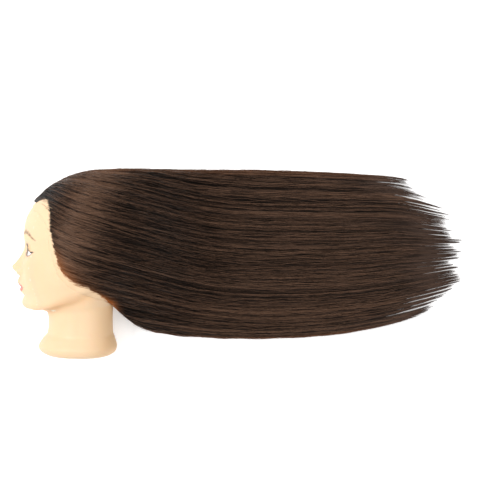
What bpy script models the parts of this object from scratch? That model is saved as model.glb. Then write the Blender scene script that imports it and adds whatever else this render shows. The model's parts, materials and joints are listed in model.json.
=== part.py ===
"""Hairdresser's training head lying on its right side, with its long hair combed back and fanned out flat.

Head frame: X runs from the face to the back of the head, Y up through the crown, Z to its left side,
and Y = 0 is the open end of the neck. The head leans on its neck collar, so its crown end is raised.
World frame: +Z up from the table, the face towards -X and the crown towards +Y.
"""

import math

import bmesh
import bpy
import numpy as np
from mathutils import Matrix, Vector
from mathutils.bvhtree import BVHTree

MM = 0.001

# Head
HEAD_DEPTH = 0.182        # forehead to back of the skull
HEAD_HEIGHT = 0.258       # open end of the neck to the crown
HEAD_WIDTH = 0.148        # over the temples
TILT = math.radians(8.5)  # the crown end lies higher than the neck
SKIN_WALL = 0.0035
GAP = 0.0003              # between pieces that touch
CAP_WALL = 0.0013
FACET_SAG = 0.0011        # how far a coarse facet dips below the round head

# Neck plug and clamp socket
DISC_HEIGHT = 0.005
SOCKET_DEPTH = 0.078
BORE_MOUTH = 0.0245       # diameter, takes the tapered post of a table clamp
BORE_END = 0.0215
SOCKET_WALL = 0.0025
FLANGE_RADIUS = 0.024
FLANGE_HEIGHT = 0.003
FLANGE_CHAMFER = 0.001
TUBE_CHAMFER = 0.002
HOLE_OVERRUN = 0.01       # a hole's cutter passes the neck's end by so much

# Hair
HAIR_REACH = 0.566        # from the neck's axis to the longest tip, lying flat
HAIR_DEPTH = 0.0082       # on the scalp
LAYER_GAP = 0.0014        # between the layers of free hair
TOP_DEPTH = 0.010         # the upper layer where it leaves the head
UNDER_DEPTH = 0.006       # the layer that lies on the table
SECTIONS = ("nape", "lower_side", "side", "upper_side", "crown")
LOCKS = 2                 # in each section of the upper layer
TIP_TAPER = 0.085         # length over which a lock narrows to its tip
TIP_WIDTH = 0.22          # share of a lock's width left at its tip

# The head's rings as drawn: front x, front y, back x, back y and half width, in mm.
DRAWN_DEPTH, DRAWN_HEIGHT, DRAWN_WIDTH = 182.0, 258.0, 148.0
HEAD_RINGS = (
    (-48, 0, 48.5, 0, 50), (-55, 4, 54, 4, 54.5), (-58.5, 11, 56, 11, 56),
    (-52, 22.5, 53, 23.5, 50), (-45, 31.5, 50.5, 31.5, 46), (-43, 48.5, 50, 48.5, 45.5),
    (-44.5, 60.5, 50.5, 69.5, 46), (-60, 64.5, 55, 83.5, 50), (-75, 67.5, 61, 95.5, 55),
    (-80.5, 75.5, 68, 107.5, 59), (-79.5, 84.5, 76, 120.5, 64), (-82.5, 97.5, 86, 135.5, 67.5),
    (-83.5, 114.5, 93, 151.5, 69.5), (-80, 133.5, 98, 166.5, 71.5), (-76.5, 154.5, 101, 182.5, 73.5),
    (-77.5, 171.5, 101, 197.5, 74), (-76.5, 186.5, 98, 211.5, 73), (-71, 201.5, 91, 226.5, 70),
    (-60, 216.5, 79, 241, 64), (-42, 233.5, 59, 252, 51), (-19, 248, 35, 257.5, 33),
)
CROWN = (6, 258)
FRONT_NARROWING = 0.10    # the face is narrower than the back of the head

# Rows of the face as drawn: height, how far it stands out and its half width, in mm.
NOSE_ROWS = (
    (114.5, 0, 9), (119.5, 5.5, 11.5), (124, 11.5, 11), (128.5, 14.5, 9), (132.5, 11.5, 7), (137, 8.3, 6),
    (143.5, 4.8, 5.5), (150.5, 2.2, 6), (159.5, 0, 8),
)
MOUTH_ROWS = (
    (89.5, 0, 19), (93.5, 2.6, 20), (98, 0.2, 22), (102.5, 3.3, 19), (107.5, 2.4, 14), (114.5, 0, 8),
)
FACE_BACK = -0.03         # the relief of the face stays in front of this x
EYE_SOCKET = (148, 30, 9, 13, 2.2)   # height, distance from the middle, half height, half width, depth

# Edges seen from the side, as drawn in mm: the scalp cap in the head frame, the rest in the world frame.
CAP_EDGE = (
    (-78, 212.5), (-64, 214.5), (-54, 212.5), (-43, 198.5), (-40, 185.5), (-38, 169.5),
    (-34, 153.5), (-31, 139.5), (-25, 124.5), (-12, 109.5), (4, 98.5), (22, 90.5),
    (40, 83.5), (58, 73.5), (76, 59.5),
)
HAIRLINE = (
    (57, 64.5), (56, 73.5), (48, 80.5), (38, 85), (24, 91), (7.5, 98), (-7, 108.5), (-18, 121.5),
    (-23.5, 135.5), (-25, 150.5), (-29, 164.5), (-33, 181.5), (-34, 198.5), (-39, 215.5),
    (-49, 222.5), (-61, 226.5),
)
UPPER_EDGE = (
    (100, 267.5), (150, 267), (200, 269.5), (256, 271), (328, 268.5), (400, 265.5), (446, 262.5),
    (475, 257.5), (503, 243.5), (518, 231.5), (533, 215.5), (546, 184.5), (566, 133.5),
)
LOWER_EDGE = (
    (56, 60), (78, 45.5), (100, 34), (121, 28), (152, 22), (180, 18.5), (212, 16.5), (270, 14.5),
    (328, 17.5), (388, 23.5), (446, 36.5), (476, 45.5), (506, 54.5), (526, 68.5), (546, 91.5),
    (566, 133.5),
)
DRAWN_REACH, DRAWN_HINGE = 566.0, 100.0
# Height of the hair above the table as drawn: x, ridge, lower edge, upper edge, and the ridge's y, in mm.
DRAPE = (
    (-60, 92, 30, 92, 193.5), (0, 128, 40, 94, 183.5), (30, 146, 48, 94, 179.5), (60, 152, 42, 93, 177.5),
    (80, 144, 34, 91, 175.5), (100, 128, 27, 86, 171.5), (120, 108, 22, 74, 165.5), (150, 77, 18, 52, 157.5),
    (185, 48, 15, 31, 149.5), (230, 31, 13, 18, 143.5), (320, 24, 10, 13, 143.5), (420, 18, 8, 9, 143.5),
    (500, 12, 6, 6, 143.5), (566, 6, 4, 4, 138.5),
)
# Where the free locks have a row of points, as drawn in mm.
STATIONS = (100, 109, 119, 130, 143, 157, 172, 189, 209, 234, 270, 320, 370, 415, 450, 480, 505, 530, 550)
ROOT_ROWS, ROOT_COLUMNS = 8, 4
ROOT_DEPTH_SHARE = 0.35   # of the full hair depth, right at the hairline
ROOT_RISE_LENGTH = 0.035  # behind the hairline the hair has its full depth
DRAPE_START_LENGTH = 0.05  # behind the hairline the drape has its full height
NECK_SPLIT = (-10, 55)    # where the left and the right hair of the nape start and stop parting lower
# Where each lock of the upper layer ends, as a share of the reach, from the nape to the crown.
LOCK_ENDS = (0.82, 0.91, 0.955, 0.985, 0.97, 1.0, 0.985, 0.95, 0.905, 0.83)
CORE_ENDS = (0.74, 0.84, 0.88, 0.85, 0.76)
UNDER_ENDS = (0.80, 0.93, 0.97, 0.93, 0.80)

SX = HEAD_DEPTH / DRAWN_DEPTH
SY = HEAD_HEIGHT / DRAWN_HEIGHT
SZ = HEAD_WIDTH / DRAWN_WIDTH
HINGE_X = DRAWN_HINGE * SX   # where the hair leaves the back of the head
CAP_INSIDE = FACET_SAG + GAP
CAP_OUTSIDE = CAP_INSIDE + CAP_WALL
HAIR_INSIDE = CAP_OUTSIDE + GAP


def clear_scene():
    for obj in list(bpy.data.objects):
        bpy.data.objects.remove(obj)


def material(name, colour, roughness, metallic=0.0):
    made = bpy.data.materials.new(name)
    made.use_nodes = True
    shader = made.node_tree.nodes["Principled BSDF"]
    shader.inputs["Base Color"].default_value = (*colour, 1.0)
    shader.inputs["Roughness"].default_value = roughness
    shader.inputs["Metallic"].default_value = metallic
    return made


def along(rows, at):
    """Smooth values through rows that are sorted by their first number."""
    table = np.array(rows, dtype=float)
    x, y = table[:, 0], table[:, 1:]
    at = min(max(at, x[0]), x[-1])
    i = min(int(np.searchsorted(x, at, side="right")) - 1, len(x) - 2)
    slopes = np.diff(y, axis=0) / np.diff(x)[:, None]

    def slope(k):
        if k in (0, len(x) - 1):
            return slopes[min(k, len(x) - 2)]
        before, after = slopes[k - 1], slopes[k]
        same = before * after > 0
        total = np.where(same, before + after, 1.0)
        return np.where(same, 2 * before * after / total, 0.0)

    h = x[i + 1] - x[i]
    t = (at - x[i]) / h
    left = (1 + 2 * t) * (1 - t) ** 2 * y[i] + t * (1 - t) ** 2 * h * slope(i)
    right = t * t * (3 - 2 * t) * y[i + 1] - t * t * (1 - t) * h * slope(i + 1)
    return left + right


def smooth_step(value):
    value = min(max(value, 0.0), 1.0)
    return value * value * (3 - 2 * value)


# ---------------------------------------------------------------- meshes

def mesh_object(name, verts, faces, look, parent, smooth=True):
    mesh = bpy.data.meshes.new(name)
    mesh.from_pydata([tuple(v) for v in verts], [], faces)
    mesh.materials.append(look)
    tidy = bmesh.new()
    tidy.from_mesh(mesh)
    bmesh.ops.recalc_face_normals(tidy, faces=tidy.faces)
    tidy.to_mesh(mesh)
    tidy.free()
    if smooth:
        mesh.shade_smooth()
        mesh.set_sharp_from_angle(angle=math.radians(40))
    obj = bpy.data.objects.new(name, mesh)
    bpy.context.collection.objects.link(obj)
    obj.parent = parent
    return obj


def helper(obj):
    obj.hide_render = True
    obj.display_type = "WIRE"
    return obj


def boolean(obj, other, operation):
    cut = obj.modifiers.new(operation.lower(), "BOOLEAN")
    cut.object = other
    cut.operation = operation


def turned(name, profile, look, parent, sides=24):
    """A piece turned around the head's Y axis from (radius, y) pairs, closed at both ends."""
    verts, faces = [], []
    rings = []
    for radius, y in profile:
        if radius == 0:
            rings.append([len(verts)])
            verts.append((0, y, 0))
            continue
        rings.append(list(range(len(verts), len(verts) + sides)))
        for k in range(sides):
            angle = 2 * math.pi * k / sides
            verts.append((radius * math.cos(angle), y, radius * math.sin(angle)))
    for below, above in zip(rings, rings[1:] + rings[:1]):
        if len(below) == 1 and len(above) == 1:
            continue
        for k in range(sides):
            n = (k + 1) % sides
            if len(above) == 1:
                faces.append((below[k], below[n], above[0]))
            elif len(below) == 1:
                faces.append((below[0], above[n], above[k]))
            else:
                faces.append((below[k], below[n], above[n], above[k]))
    return mesh_object(name, verts, faces, look, parent)


# ---------------------------------------------------------------- head

def ring_at(step):
    """Front x and y, back x and y and half width at a place between two drawn rings."""
    rows = [(i, *row) for i, row in enumerate(HEAD_RINGS)]
    fx, fy, bx, by, half = along(rows, step)
    return fx * SX, fy * SY, bx * SX, by * SY, half * SZ


def head_point(step, angle):
    fx, fy, bx, by, half = ring_at(step)
    ahead = math.cos(angle)
    narrowing = 1 - FRONT_NARROWING * (0.5 + 0.5 * ahead)
    return Vector((
        (fx + bx) / 2 + (fx - bx) / 2 * ahead,
        (fy + by) / 2 + (fy - by) / 2 * ahead,
        half * narrowing * math.sin(angle) * (1 + 0.04 * abs(math.sin(2 * angle))),
    ))


def step_at_height(y):
    """The ring whose front lies at this height, up to the collar."""
    steps = np.linspace(0, 5, 400)
    return float(steps[np.argmin([abs(ring_at(s)[1] - y) for s in steps])])


def head_grid(steps, angles, grow):
    """Rings of points on the bare head, grown outwards by so much, and the crown's point."""
    rings = []
    crown = Vector((CROWN[0] * SX, CROWN[1] * SY, 0))
    for step in steps:
        ring = []
        for angle in angles:
            here = head_point(step, angle)
            around = head_point(step, angle + 0.02) - head_point(step, angle - 0.02)
            low, high = max(step - 0.15, 0), min(step + 0.15, len(HEAD_RINGS) - 1)
            upward = head_point(high, angle) - head_point(low, angle)
            outward = around.cross(upward).normalized()
            if outward.dot(here - Vector(((ring_at(step)[0] + ring_at(step)[2]) / 2, here.y, 0))) < 0:
                outward = -outward
            ring.append(here + outward * grow)
        rings.append(ring)
    return rings, crown + Vector((0, grow, 0))


def closed_form(rings, crown, base_cap=True):
    """Vertices and faces of rings closed at the crown and, with a cap, at the base."""
    count = len(rings[0])
    verts = [p for ring in rings for p in ring] + [crown]
    faces = []
    for r in range(len(rings) - 1):
        for k in range(count):
            n = (k + 1) % count
            faces.append((r * count + k, r * count + n, (r + 1) * count + n, (r + 1) * count + k))
    top = (len(rings) - 1) * count
    for k in range(count):
        faces.append((top + k, top + (k + 1) % count, len(verts) - 1))
    if base_cap:
        faces.append(tuple(range(count)))
    return verts, faces


def face_relief(point):
    """How far the nose, the lips and the eye sockets move a point of the bare face towards the front."""
    y, z = point.y / SY, abs(point.z) / SZ
    if point.x > FACE_BACK:
        return 0.0
    out = 0.0
    if NOSE_ROWS[0][0] < y < NOSE_ROWS[-1][0]:
        stand, half = along(NOSE_ROWS, y)
        out += stand * math.exp(-((z / half) ** 2) * 1.2)
    if MOUTH_ROWS[0][0] < y < MOUTH_ROWS[-1][0]:
        stand, half = along(MOUTH_ROWS, y)
        out += stand * math.exp(-((z / half) ** 4))
    height, middle, half_height, half_width, depth = EYE_SOCKET
    out -= depth * math.exp(-((y - height) / half_height) ** 2 - ((z - middle) / half_width) ** 2)
    return out * MM


# Rings of the hollow inside the skin above its collar; the foam has the same ones.
INSIDE_STEPS = (2, 3, 4, 5, 6, 6.6, 6.95, 7.3, 7.65, 8, 9, 10.5, 12.5, 14.5, 16.5, 18, 19.2)
HEAD_SIDES = 30


def face_angles(count):
    """Angles around the head, closer together over the face."""
    even = [2 * math.pi * k / count for k in range(count)]
    return [a - 0.42 * math.sin(a) for a in even]


def face_and_neck(look, parent):
    neck = [0, 1, 2, 2.6, 3.3, 4, 5, 6]
    face = list(np.linspace(6.6, 15, 25))
    skull = [15.8, 16.6, 17.4, 18.2, 19, 19.6, 20]
    angles = face_angles(HEAD_SIDES)
    outer, crown = head_grid(neck + face + skull, angles, 0)
    for ring in outer:
        for point in ring:
            point.x -= face_relief(point)
    verts, faces = closed_form(outer, crown, base_cap=False)
    inner, inner_crown = head_grid([0, 1, *INSIDE_STEPS], angles, -SKIN_WALL)
    for point in inner[0]:
        point.y = 0
    inside, inside_faces = closed_form(inner, inner_crown, base_cap=False)
    count, first = len(angles), len(verts)
    faces += [tuple(first + i for i in reversed(face)) for face in inside_faces]
    for k in range(count):
        n = (k + 1) % count
        faces.append((k, first + k, first + n, n))
    return mesh_object("face_neck_skin", verts + inside, faces, look, parent)


COARSE_STEPS = (0, 1, 2, 3, 4, 5, 6, 7, 8.2, 9.5, 11, 12.5, 13.8, 15, 16, 17, 18, 18.8, 19.4, 20)
COARSE_SIDES = 30


def coarse_head(grow):
    angles = [2 * math.pi * k / COARSE_SIDES for k in range(COARSE_SIDES)]
    return closed_form(*head_grid(COARSE_STEPS, angles, grow))


def foam_core(look, parent):
    floor = DISC_HEIGHT + FLANGE_HEIGHT + 2 * GAP
    start = step_at_height(floor)
    rings, crown = head_grid([start, *INSIDE_STEPS], face_angles(HEAD_SIDES), -(SKIN_WALL + 2 * GAP))
    rings[0] = head_grid([start], face_angles(HEAD_SIDES), -(SKIN_WALL + 3 * FACET_SAG))[0][0]
    for point in rings[0]:
        point.y = floor
    core = mesh_object("foam_core", *closed_form(rings, crown), look, parent)
    radius = BORE_MOUTH / 2 + SOCKET_WALL + GAP
    top = SOCKET_DEPTH + SOCKET_WALL + GAP
    start = -HOLE_OVERRUN
    hole = turned("foam_hole", ((0, start), (radius, start), (radius, top), (0, top)), look, parent)
    boolean(core, helper(hole), "DIFFERENCE")
    return core


def neck_disc(look, parent):
    outline = head_grid([0], face_angles(HEAD_SIDES), -(SKIN_WALL + 2 * GAP))[0][0]
    verts = [Vector((p.x, y, p.z)) for y in (0, DISC_HEIGHT) for p in outline]
    count = len(outline)
    faces = [tuple(range(count)), tuple(range(count, 2 * count))]
    faces += [(k, (k + 1) % count, count + (k + 1) % count, count + k) for k in range(count)]
    disc = mesh_object("neck_disc", verts, faces, look, parent)
    radius = BORE_MOUTH / 2 + SOCKET_WALL + GAP
    start, end = -HOLE_OVERRUN, DISC_HEIGHT + HOLE_OVERRUN
    hole = turned("disc_hole", ((0, start), (radius, start), (radius, end), (0, end)), look, parent)
    boolean(disc, helper(hole), "DIFFERENCE")
    return disc


def clamp_socket(look, parent):
    """A tapered blind tube for a table clamp's post, with a flange that rests on the disc."""
    outside = BORE_MOUTH / 2 + SOCKET_WALL
    seat = DISC_HEIGHT + GAP
    flange_top = seat + FLANGE_HEIGHT - GAP
    end_radius = BORE_END / 2 + SOCKET_WALL
    top = SOCKET_DEPTH + SOCKET_WALL
    profile = (
        (BORE_MOUTH / 2, 0), (outside, 0), (outside, seat), (FLANGE_RADIUS, seat),
        (FLANGE_RADIUS, flange_top + GAP - FLANGE_CHAMFER), (FLANGE_RADIUS - FLANGE_CHAMFER, flange_top),
        (outside, flange_top), (end_radius, top - TUBE_CHAMFER), (end_radius - TUBE_CHAMFER, top), (0, top),
        (0, SOCKET_DEPTH), (BORE_END / 2, SOCKET_DEPTH),
    )
    return turned("clamp_socket", profile, look, parent)


def scalp_cap(look, parent):
    """A thin cap over the head from the forehead to the nape, cut off along its edge."""
    outer, outer_faces = coarse_head(CAP_OUTSIDE)
    inner, inner_faces = coarse_head(CAP_INSIDE)
    first = len(outer)
    faces = outer_faces + [tuple(first + i for i in reversed(face)) for face in inner_faces]
    mesh = bpy.data.meshes.new("scalp_cap")
    mesh.from_pydata([tuple(v) for v in outer + inner], [], faces)
    mesh.materials.append(look)
    flip_if_inside_out(mesh)
    mesh.shade_smooth()
    cap = bpy.data.objects.new("scalp_cap", mesh)
    bpy.context.collection.objects.link(cap)
    cap.parent = parent
    edge = [(x * SX, y * SY) for x, y in CAP_EDGE]
    far = 3 * HEAD_DEPTH
    outline = edge + [(far, edge[-1][1]), (far, 2 * HEAD_HEIGHT), (edge[0][0] - 0.05, 2 * HEAD_HEIGHT),
                      (edge[0][0] - 0.05, edge[0][1])]
    side = 2 * HEAD_WIDTH
    verts = [(x, y, -side) for x, y in outline] + [(x, y, side) for x, y in outline]
    count = len(outline)
    walls = [(k, (k + 1) % count, count + (k + 1) % count, count + k) for k in range(count)]
    faces = walls + [tuple(range(count)), tuple(range(count, 2 * count))]
    region = mesh_object("cap_region", verts, faces, look, parent, smooth=False)
    boolean(cap, helper(region), "INTERSECT")
    return cap


def flip_if_inside_out(mesh):
    """Turns the outer surface of a nested pair outwards and its inner one inwards."""
    shell = bmesh.new()
    shell.from_mesh(mesh)
    if shell.calc_volume(signed=True) < 0:
        bmesh.ops.reverse_faces(shell, faces=shell.faces)
    shell.to_mesh(mesh)
    shell.free()


# ---------------------------------------------------------------- hair

class HairForm:
    """Heights of the hair above the table, worked out from the head that lies in it."""

    def __init__(self, head_to_world):
        self.head_to_world = head_to_world
        self.scalp = self.tree(CAP_OUTSIDE)
        self.outside = self.tree(CAP_OUTSIDE + HAIR_DEPTH)

    def tree(self, grow):
        verts, faces = coarse_head(grow)
        return BVHTree.FromPolygons([self.head_to_world @ v for v in verts], faces)

    @staticmethod
    def cast(tree, x, y, downwards):
        start = Vector((x, y, 1.0 if downwards else -1.0))
        hit = tree.ray_cast(start, Vector((0, 0, -1 if downwards else 1)))
        return None if hit[0] is None else hit[0].z

    def middle(self, y):
        """Height of the head's middle plane above the table at this y."""
        low = self.head_to_world @ Vector((0, 0, 0))
        return low.z + (y - low.y) * math.tan(TILT)

    def drape(self, x, y):
        ridge, low, high, ridge_y = along(DRAPE, reach_row(x))
        lower, upper = form_edges(max(x, LOWER_EDGE[0][0] * SX))
        ridge_y *= SY
        edge_y, edge = (lower, low) if y < ridge_y else (upper, high)
        away = min(abs(y - ridge_y) / abs(edge_y - ridge_y), 1.0)
        return (edge + (ridge - edge) * math.cos(math.pi / 2 * away) ** 0.9) * SZ

    def top(self, x, y):
        """The upper surface of the hair."""
        height = self.drape(x, y)
        scalp, outside = self.cast(self.scalp, x, y, True), self.cast(self.outside, x, y, True)
        if scalp is not None and outside is not None:
            height = max(height * behind_hairline(x, y), scalp + (outside - scalp) * root_rise(x, y))
        elif outside is not None:
            height = max(height, outside)
        if x < HINGE_X:
            height = max(height, self.split(x, y) + 0.004)
        return height

    def top_layer_floor(self, x, y):
        height = self.top(x, y)
        return height - min(TOP_DEPTH, 0.36 * height)

    def under_layer_top(self, x, y):
        return min(UNDER_DEPTH, 0.30 * self.top(x, y))

    def bottom(self, x, y):
        """The lower surface of the hair: the table, or the skin's side near the hairline."""
        scalp, outside = self.cast(self.scalp, x, y, False), self.cast(self.outside, x, y, False)
        height = self.split(x, y) - 0.007
        if scalp is not None and outside is not None:
            height = min(height, scalp + (outside - scalp) * root_rise(x, y))
        elif outside is not None:
            height = min(height, outside)
        return max(0.0, height) * (1 - smooth_step((x - 0.4 * HINGE_X) / (0.6 * HINGE_X)))

    def split(self, x, y):
        """Where the hair of the left side meets the hair of the right side."""
        middle = self.middle(y)
        above, below = self.cast(self.scalp, x, y, True), self.cast(self.scalp, x, y, False)
        if above is not None and below is not None:
            middle = (above + below) / 2
        if y > along(DRAPE, reach_row(x))[3] * SY:
            return middle
        behind_neck = smooth_step((x - NECK_SPLIT[0] * SX) / (NECK_SPLIT[1] * SX - NECK_SPLIT[0] * SX))
        return middle + (min(middle, 0.5 * self.drape(x, y)) - middle) * behind_neck


def reach_row(x):
    """A world x as drawn in the rows of the hair: the head's part scales with it, the rest with the reach."""
    if x <= HINGE_X:
        return x / SX
    return DRAWN_HINGE + (x - HINGE_X) / (HAIR_REACH - HINGE_X) * (DRAWN_REACH - DRAWN_HINGE)


def hairline_point(share):
    """A point of the hairline at a share of its length, from the nape to the forehead."""
    points = np.array(HAIRLINE, dtype=float) * (SX, SY)
    steps = np.linalg.norm(np.diff(points, axis=0), axis=1)
    lengths = np.concatenate([[0], np.cumsum(steps)])
    rows = np.column_stack([lengths / lengths[-1], points])
    return along(rows, share)


HAIRLINE_POINTS = np.array([hairline_point(s) for s in np.linspace(0, 1, 60)])


def hairline_distance(x, y):
    return float(np.min(np.hypot(*(HAIRLINE_POINTS - (x, y)).T)))


def root_rise(x, y):
    """Share of the full hair depth at a place behind the hairline."""
    rise = smooth_step(hairline_distance(x, y) / ROOT_RISE_LENGTH)
    return ROOT_DEPTH_SHARE + (1 - ROOT_DEPTH_SHARE) * rise


def behind_hairline(x, y):
    return smooth_step(hairline_distance(x, y) / DRAPE_START_LENGTH)


def root_path(v, u):
    """A combed line from the hairline (u = 0) to the back of the head (u = 1); v runs from nape to crown."""
    root = hairline_point(v * (1.6 - 0.6 * v))
    lower, upper = form_edges(HINGE_X)
    end = lower + (upper - lower) * v
    early = 1 - (1 - u) ** (1.3 + 3.7 * v ** 6)
    late = u ** 2.1
    share = min(0.5 + 5 * v, 1 - v * v)
    x = root[0] + (HINGE_X - GAP - root[0]) * u
    return x, root[1] + (end - root[1]) * (late * share + early * (1 - share))


def quilt(name, plan, top, bottom, rows, columns, look, parent, origin=Vector((0, 0, 0))):
    """A closed solid between two heights over a plan grid: plan(u, v) gives x and y."""
    verts, faces = [], []
    for height in (bottom, top):
        for u in rows:
            for v in columns:
                x, y = plan(u, v)
                verts.append(Vector((x, y, height(x, y))) - origin)
    width = len(columns)
    last = len(rows) - 1
    first = len(rows) * width
    for i in range(last):
        for j in range(width - 1):
            a, b, c, d = i * width + j, i * width + j + 1, (i + 1) * width + j + 1, (i + 1) * width + j
            for triangle in ((a, b, c), (a, c, d)):
                faces.append(triangle)
                faces.append(tuple(first + corner for corner in reversed(triangle)))
    border = list(range(width))
    border += [(i + 1) * width - 1 for i in range(1, last + 1)]
    border += [last * width + j for j in range(width - 2, -1, -1)]
    border += [i * width for i in range(last - 1, 0, -1)]
    for a, b in zip(border, border[1:] + border[:1]):
        faces.append((a, first + a, first + b, b))
    return mesh_object(name, verts, faces, look, parent)


def root_plan(first_v, last_v):
    def plan(u, v):
        low = np.array(root_path(first_v, u))
        high = np.array(root_path(last_v, u))
        inset = GAP / max(np.linalg.norm(high - low), GAP)
        here = root_path(first_v + (last_v - first_v) * v, u)
        if v in (0, 1):
            inward = (high - low) * (inset if v == 0 else -inset)
            here = here + inward
        return here[0], here[1]
    return plan


def strand_plan(low, high, start, end):
    """Plan of a free lock between two shares of the fan's width, from start to its tapered tip."""
    def band(share, x):
        lower, upper = form_edges(HINGE_X)
        edge_low, edge_high = form_edges(x)
        if share == 0:
            return edge_low
        if share == 1:
            return edge_high
        return lower + (upper - lower) * share

    def plan(u, v):
        x = start + (end - start) * u
        y_low, y_high = band(low, x) + GAP / 2, band(high, x) - GAP / 2
        narrow = smooth_step((x - (end - TIP_TAPER)) / TIP_TAPER)
        width = (y_high - y_low) * (1 - (1 - TIP_WIDTH) * narrow)
        lean = 0.5 + 0.35 * narrow * (0.5 - (low + high) / 2)
        middle = y_low + (y_high - y_low) * lean
        middle = min(max(middle, y_low + width / 2), y_high - width / 2)
        return x, middle + (v - 0.5) * width
    return plan


def form_edges(x):
    reach = reach_row(x)
    return along(LOWER_EDGE, reach)[0] * SY, along(UPPER_EDGE, reach)[0] * SY


def shares(count):
    return [i / count for i in range(count + 1)]


def length_rows(start, end):
    """The shares of a free lock's length where the common stations cross it."""
    stations = [HINGE_X + (x - DRAWN_HINGE) / (DRAWN_REACH - DRAWN_HINGE) * (HAIR_REACH - HINGE_X)
                for x in STATIONS]
    inside = [x for x in stations if start + 0.002 < x < end - 0.008]
    return [(x - start) / (end - start) for x in (start, *inside, end)]


def build_hair(form, looks, frame, cutter):
    count = len(SECTIONS)
    for k in range(count * LOCKS):
        plan = root_plan(k / (count * LOCKS), (k + 1) / (count * LOCKS))
        lock = quilt(f"{SECTIONS[k // LOCKS]}_root_{k % LOCKS + 1}", plan, form.top, form.split,
                     shares(ROOT_ROWS), shares(ROOT_COLUMNS), looks["root"], frame)
        boolean(lock, cutter, "DIFFERENCE")
    for i in range(count):
        plan = root_plan(i / count, (i + 1) / count)
        lock = quilt(f"right_root_{i + 1}", plan, lambda x, y: form.split(x, y) - GAP, form.bottom,
                     shares(ROOT_ROWS), shares(ROOT_COLUMNS * LOCKS), looks["under"], frame)
        boolean(lock, cutter, "DIFFERENCE")

    start = HINGE_X + GAP
    for i, section in enumerate(SECTIONS):
        hinge = hinge_empty(form, section, i, start, frame)
        for n in range(LOCKS):
            k = i * LOCKS + n
            end = HINGE_X + (HAIR_REACH - HINGE_X) * LOCK_ENDS[k]
            plan = strand_plan(k / (count * LOCKS), (k + 1) / (count * LOCKS), start, end)
            quilt(f"{section}_length_{n + 1}", plan, form.top, form.top_layer_floor,
                  length_rows(start, end), shares(2), looks["length"], hinge, hinge.location)
        low, high = i / count, (i + 1) / count
        end = HINGE_X + (HAIR_REACH - HINGE_X) * CORE_ENDS[i]
        core = quilt(f"core_length_{i + 1}", strand_plan(low, high, start, end),
                     lambda x, y: form.top_layer_floor(x, y) - LAYER_GAP,
                     lambda x, y: form.under_layer_top(x, y) + LAYER_GAP,
                     length_rows(start, end), shares(2 * LOCKS), looks["under"], frame)
        boolean(core, cutter, "DIFFERENCE")
        end = HINGE_X + (HAIR_REACH - HINGE_X) * UNDER_ENDS[i]
        under = quilt(f"right_length_{i + 1}", strand_plan(low, high, start, end),
                      form.under_layer_top, lambda x, y: 0.0,
                      length_rows(start, end), shares(2 * LOCKS), looks["under"], frame)
        boolean(under, cutter, "DIFFERENCE")


def hinge_empty(form, section, index, x, frame):
    """The line along Y that a section of hair lifts about, at the top of its end on the head."""
    low, high = form_edges(HINGE_X)
    first = low + (high - low) * index / len(SECTIONS)
    last = low + (high - low) * (index + 1) / len(SECTIONS)
    top = max(form.top(x, y) for y in np.linspace(first, last, 9))
    hinge = bpy.data.objects.new(f"{section}_hinge", None)
    bpy.context.collection.objects.link(hinge)
    hinge.parent = frame
    hinge.location = (x, (first + last) / 2, top)
    return hinge


# ---------------------------------------------------------------- assembly

def lay_down(skin):
    """Matrix that tilts the head and lowers it until its collar touches the table."""
    turn = Matrix.Rotation(TILT, 4, "X")
    lowest = min((turn @ v.co).z for v in skin.data.vertices)
    return Matrix.Translation((0, 0, -lowest)) @ turn


def centre_on_table(frame):
    """Moves everything so that the whole object stands centred over the origin."""
    bpy.context.view_layer.update()
    depsgraph = bpy.context.evaluated_depsgraph_get()
    corners = []
    for obj in bpy.data.objects:
        if obj.type == "MESH" and not obj.hide_render:
            shown = obj.evaluated_get(depsgraph)
            corners += [obj.matrix_world @ v.co for v in shown.data.vertices]
    low = np.min(corners, axis=0)
    high = np.max(corners, axis=0)
    frame.location = (-(low[0] + high[0]) / 2, -(low[1] + high[1]) / 2, -low[2])
    bpy.context.view_layer.update()


def build():
    clear_scene()
    looks = {
        "skin": material("soft_vinyl", (0.90, 0.72, 0.50), 0.42),
        "cap": material("scalp_vinyl", (0.80, 0.58, 0.38), 0.50),
        "foam": material("foam", (0.86, 0.84, 0.78), 0.95),
        "disc": material("rigid_plastic", (0.83, 0.80, 0.74), 0.45),
        "socket": material("socket_plastic", (0.12, 0.12, 0.13), 0.40),
        "root": material("hair_roots", (0.060, 0.036, 0.026), 0.38),
        "length": material("hair_lengths", (0.046, 0.028, 0.021), 0.42),
        "under": material("hair_under", (0.036, 0.022, 0.017), 0.48),
    }
    frame = bpy.data.objects.new("frame", None)
    head = bpy.data.objects.new("head", None)
    for empty in (frame, head):
        bpy.context.collection.objects.link(empty)
    head.parent = frame
    skin = face_and_neck(looks["skin"], head)
    lying = lay_down(skin)
    head.matrix_local = lying
    scalp_cap(looks["cap"], head)
    foam_core(looks["foam"], head)
    neck_disc(looks["disc"], head)
    clamp_socket(looks["socket"], head)
    cutter = helper(mesh_object("scalp_clearance", *coarse_head(HAIR_INSIDE), looks["cap"], head))
    build_hair(HairForm(lying), looks, frame, cutter)
    centre_on_table(frame)


build()
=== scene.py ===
"""Looks of the mannequin training head: painted vinyl head, rooted scalp cap and long combed hair.

Meshes are in metres in the part's frame. Outlines are drawn in millimetres from the neck's axis at its
open end, with x towards the back of the head and the hair's tips, and y towards the crown.
"""
import json
import math

import bmesh
import bpy
import numpy as np
from mathutils import Matrix, Vector
from mathutils.bvhtree import BVHTree


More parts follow.
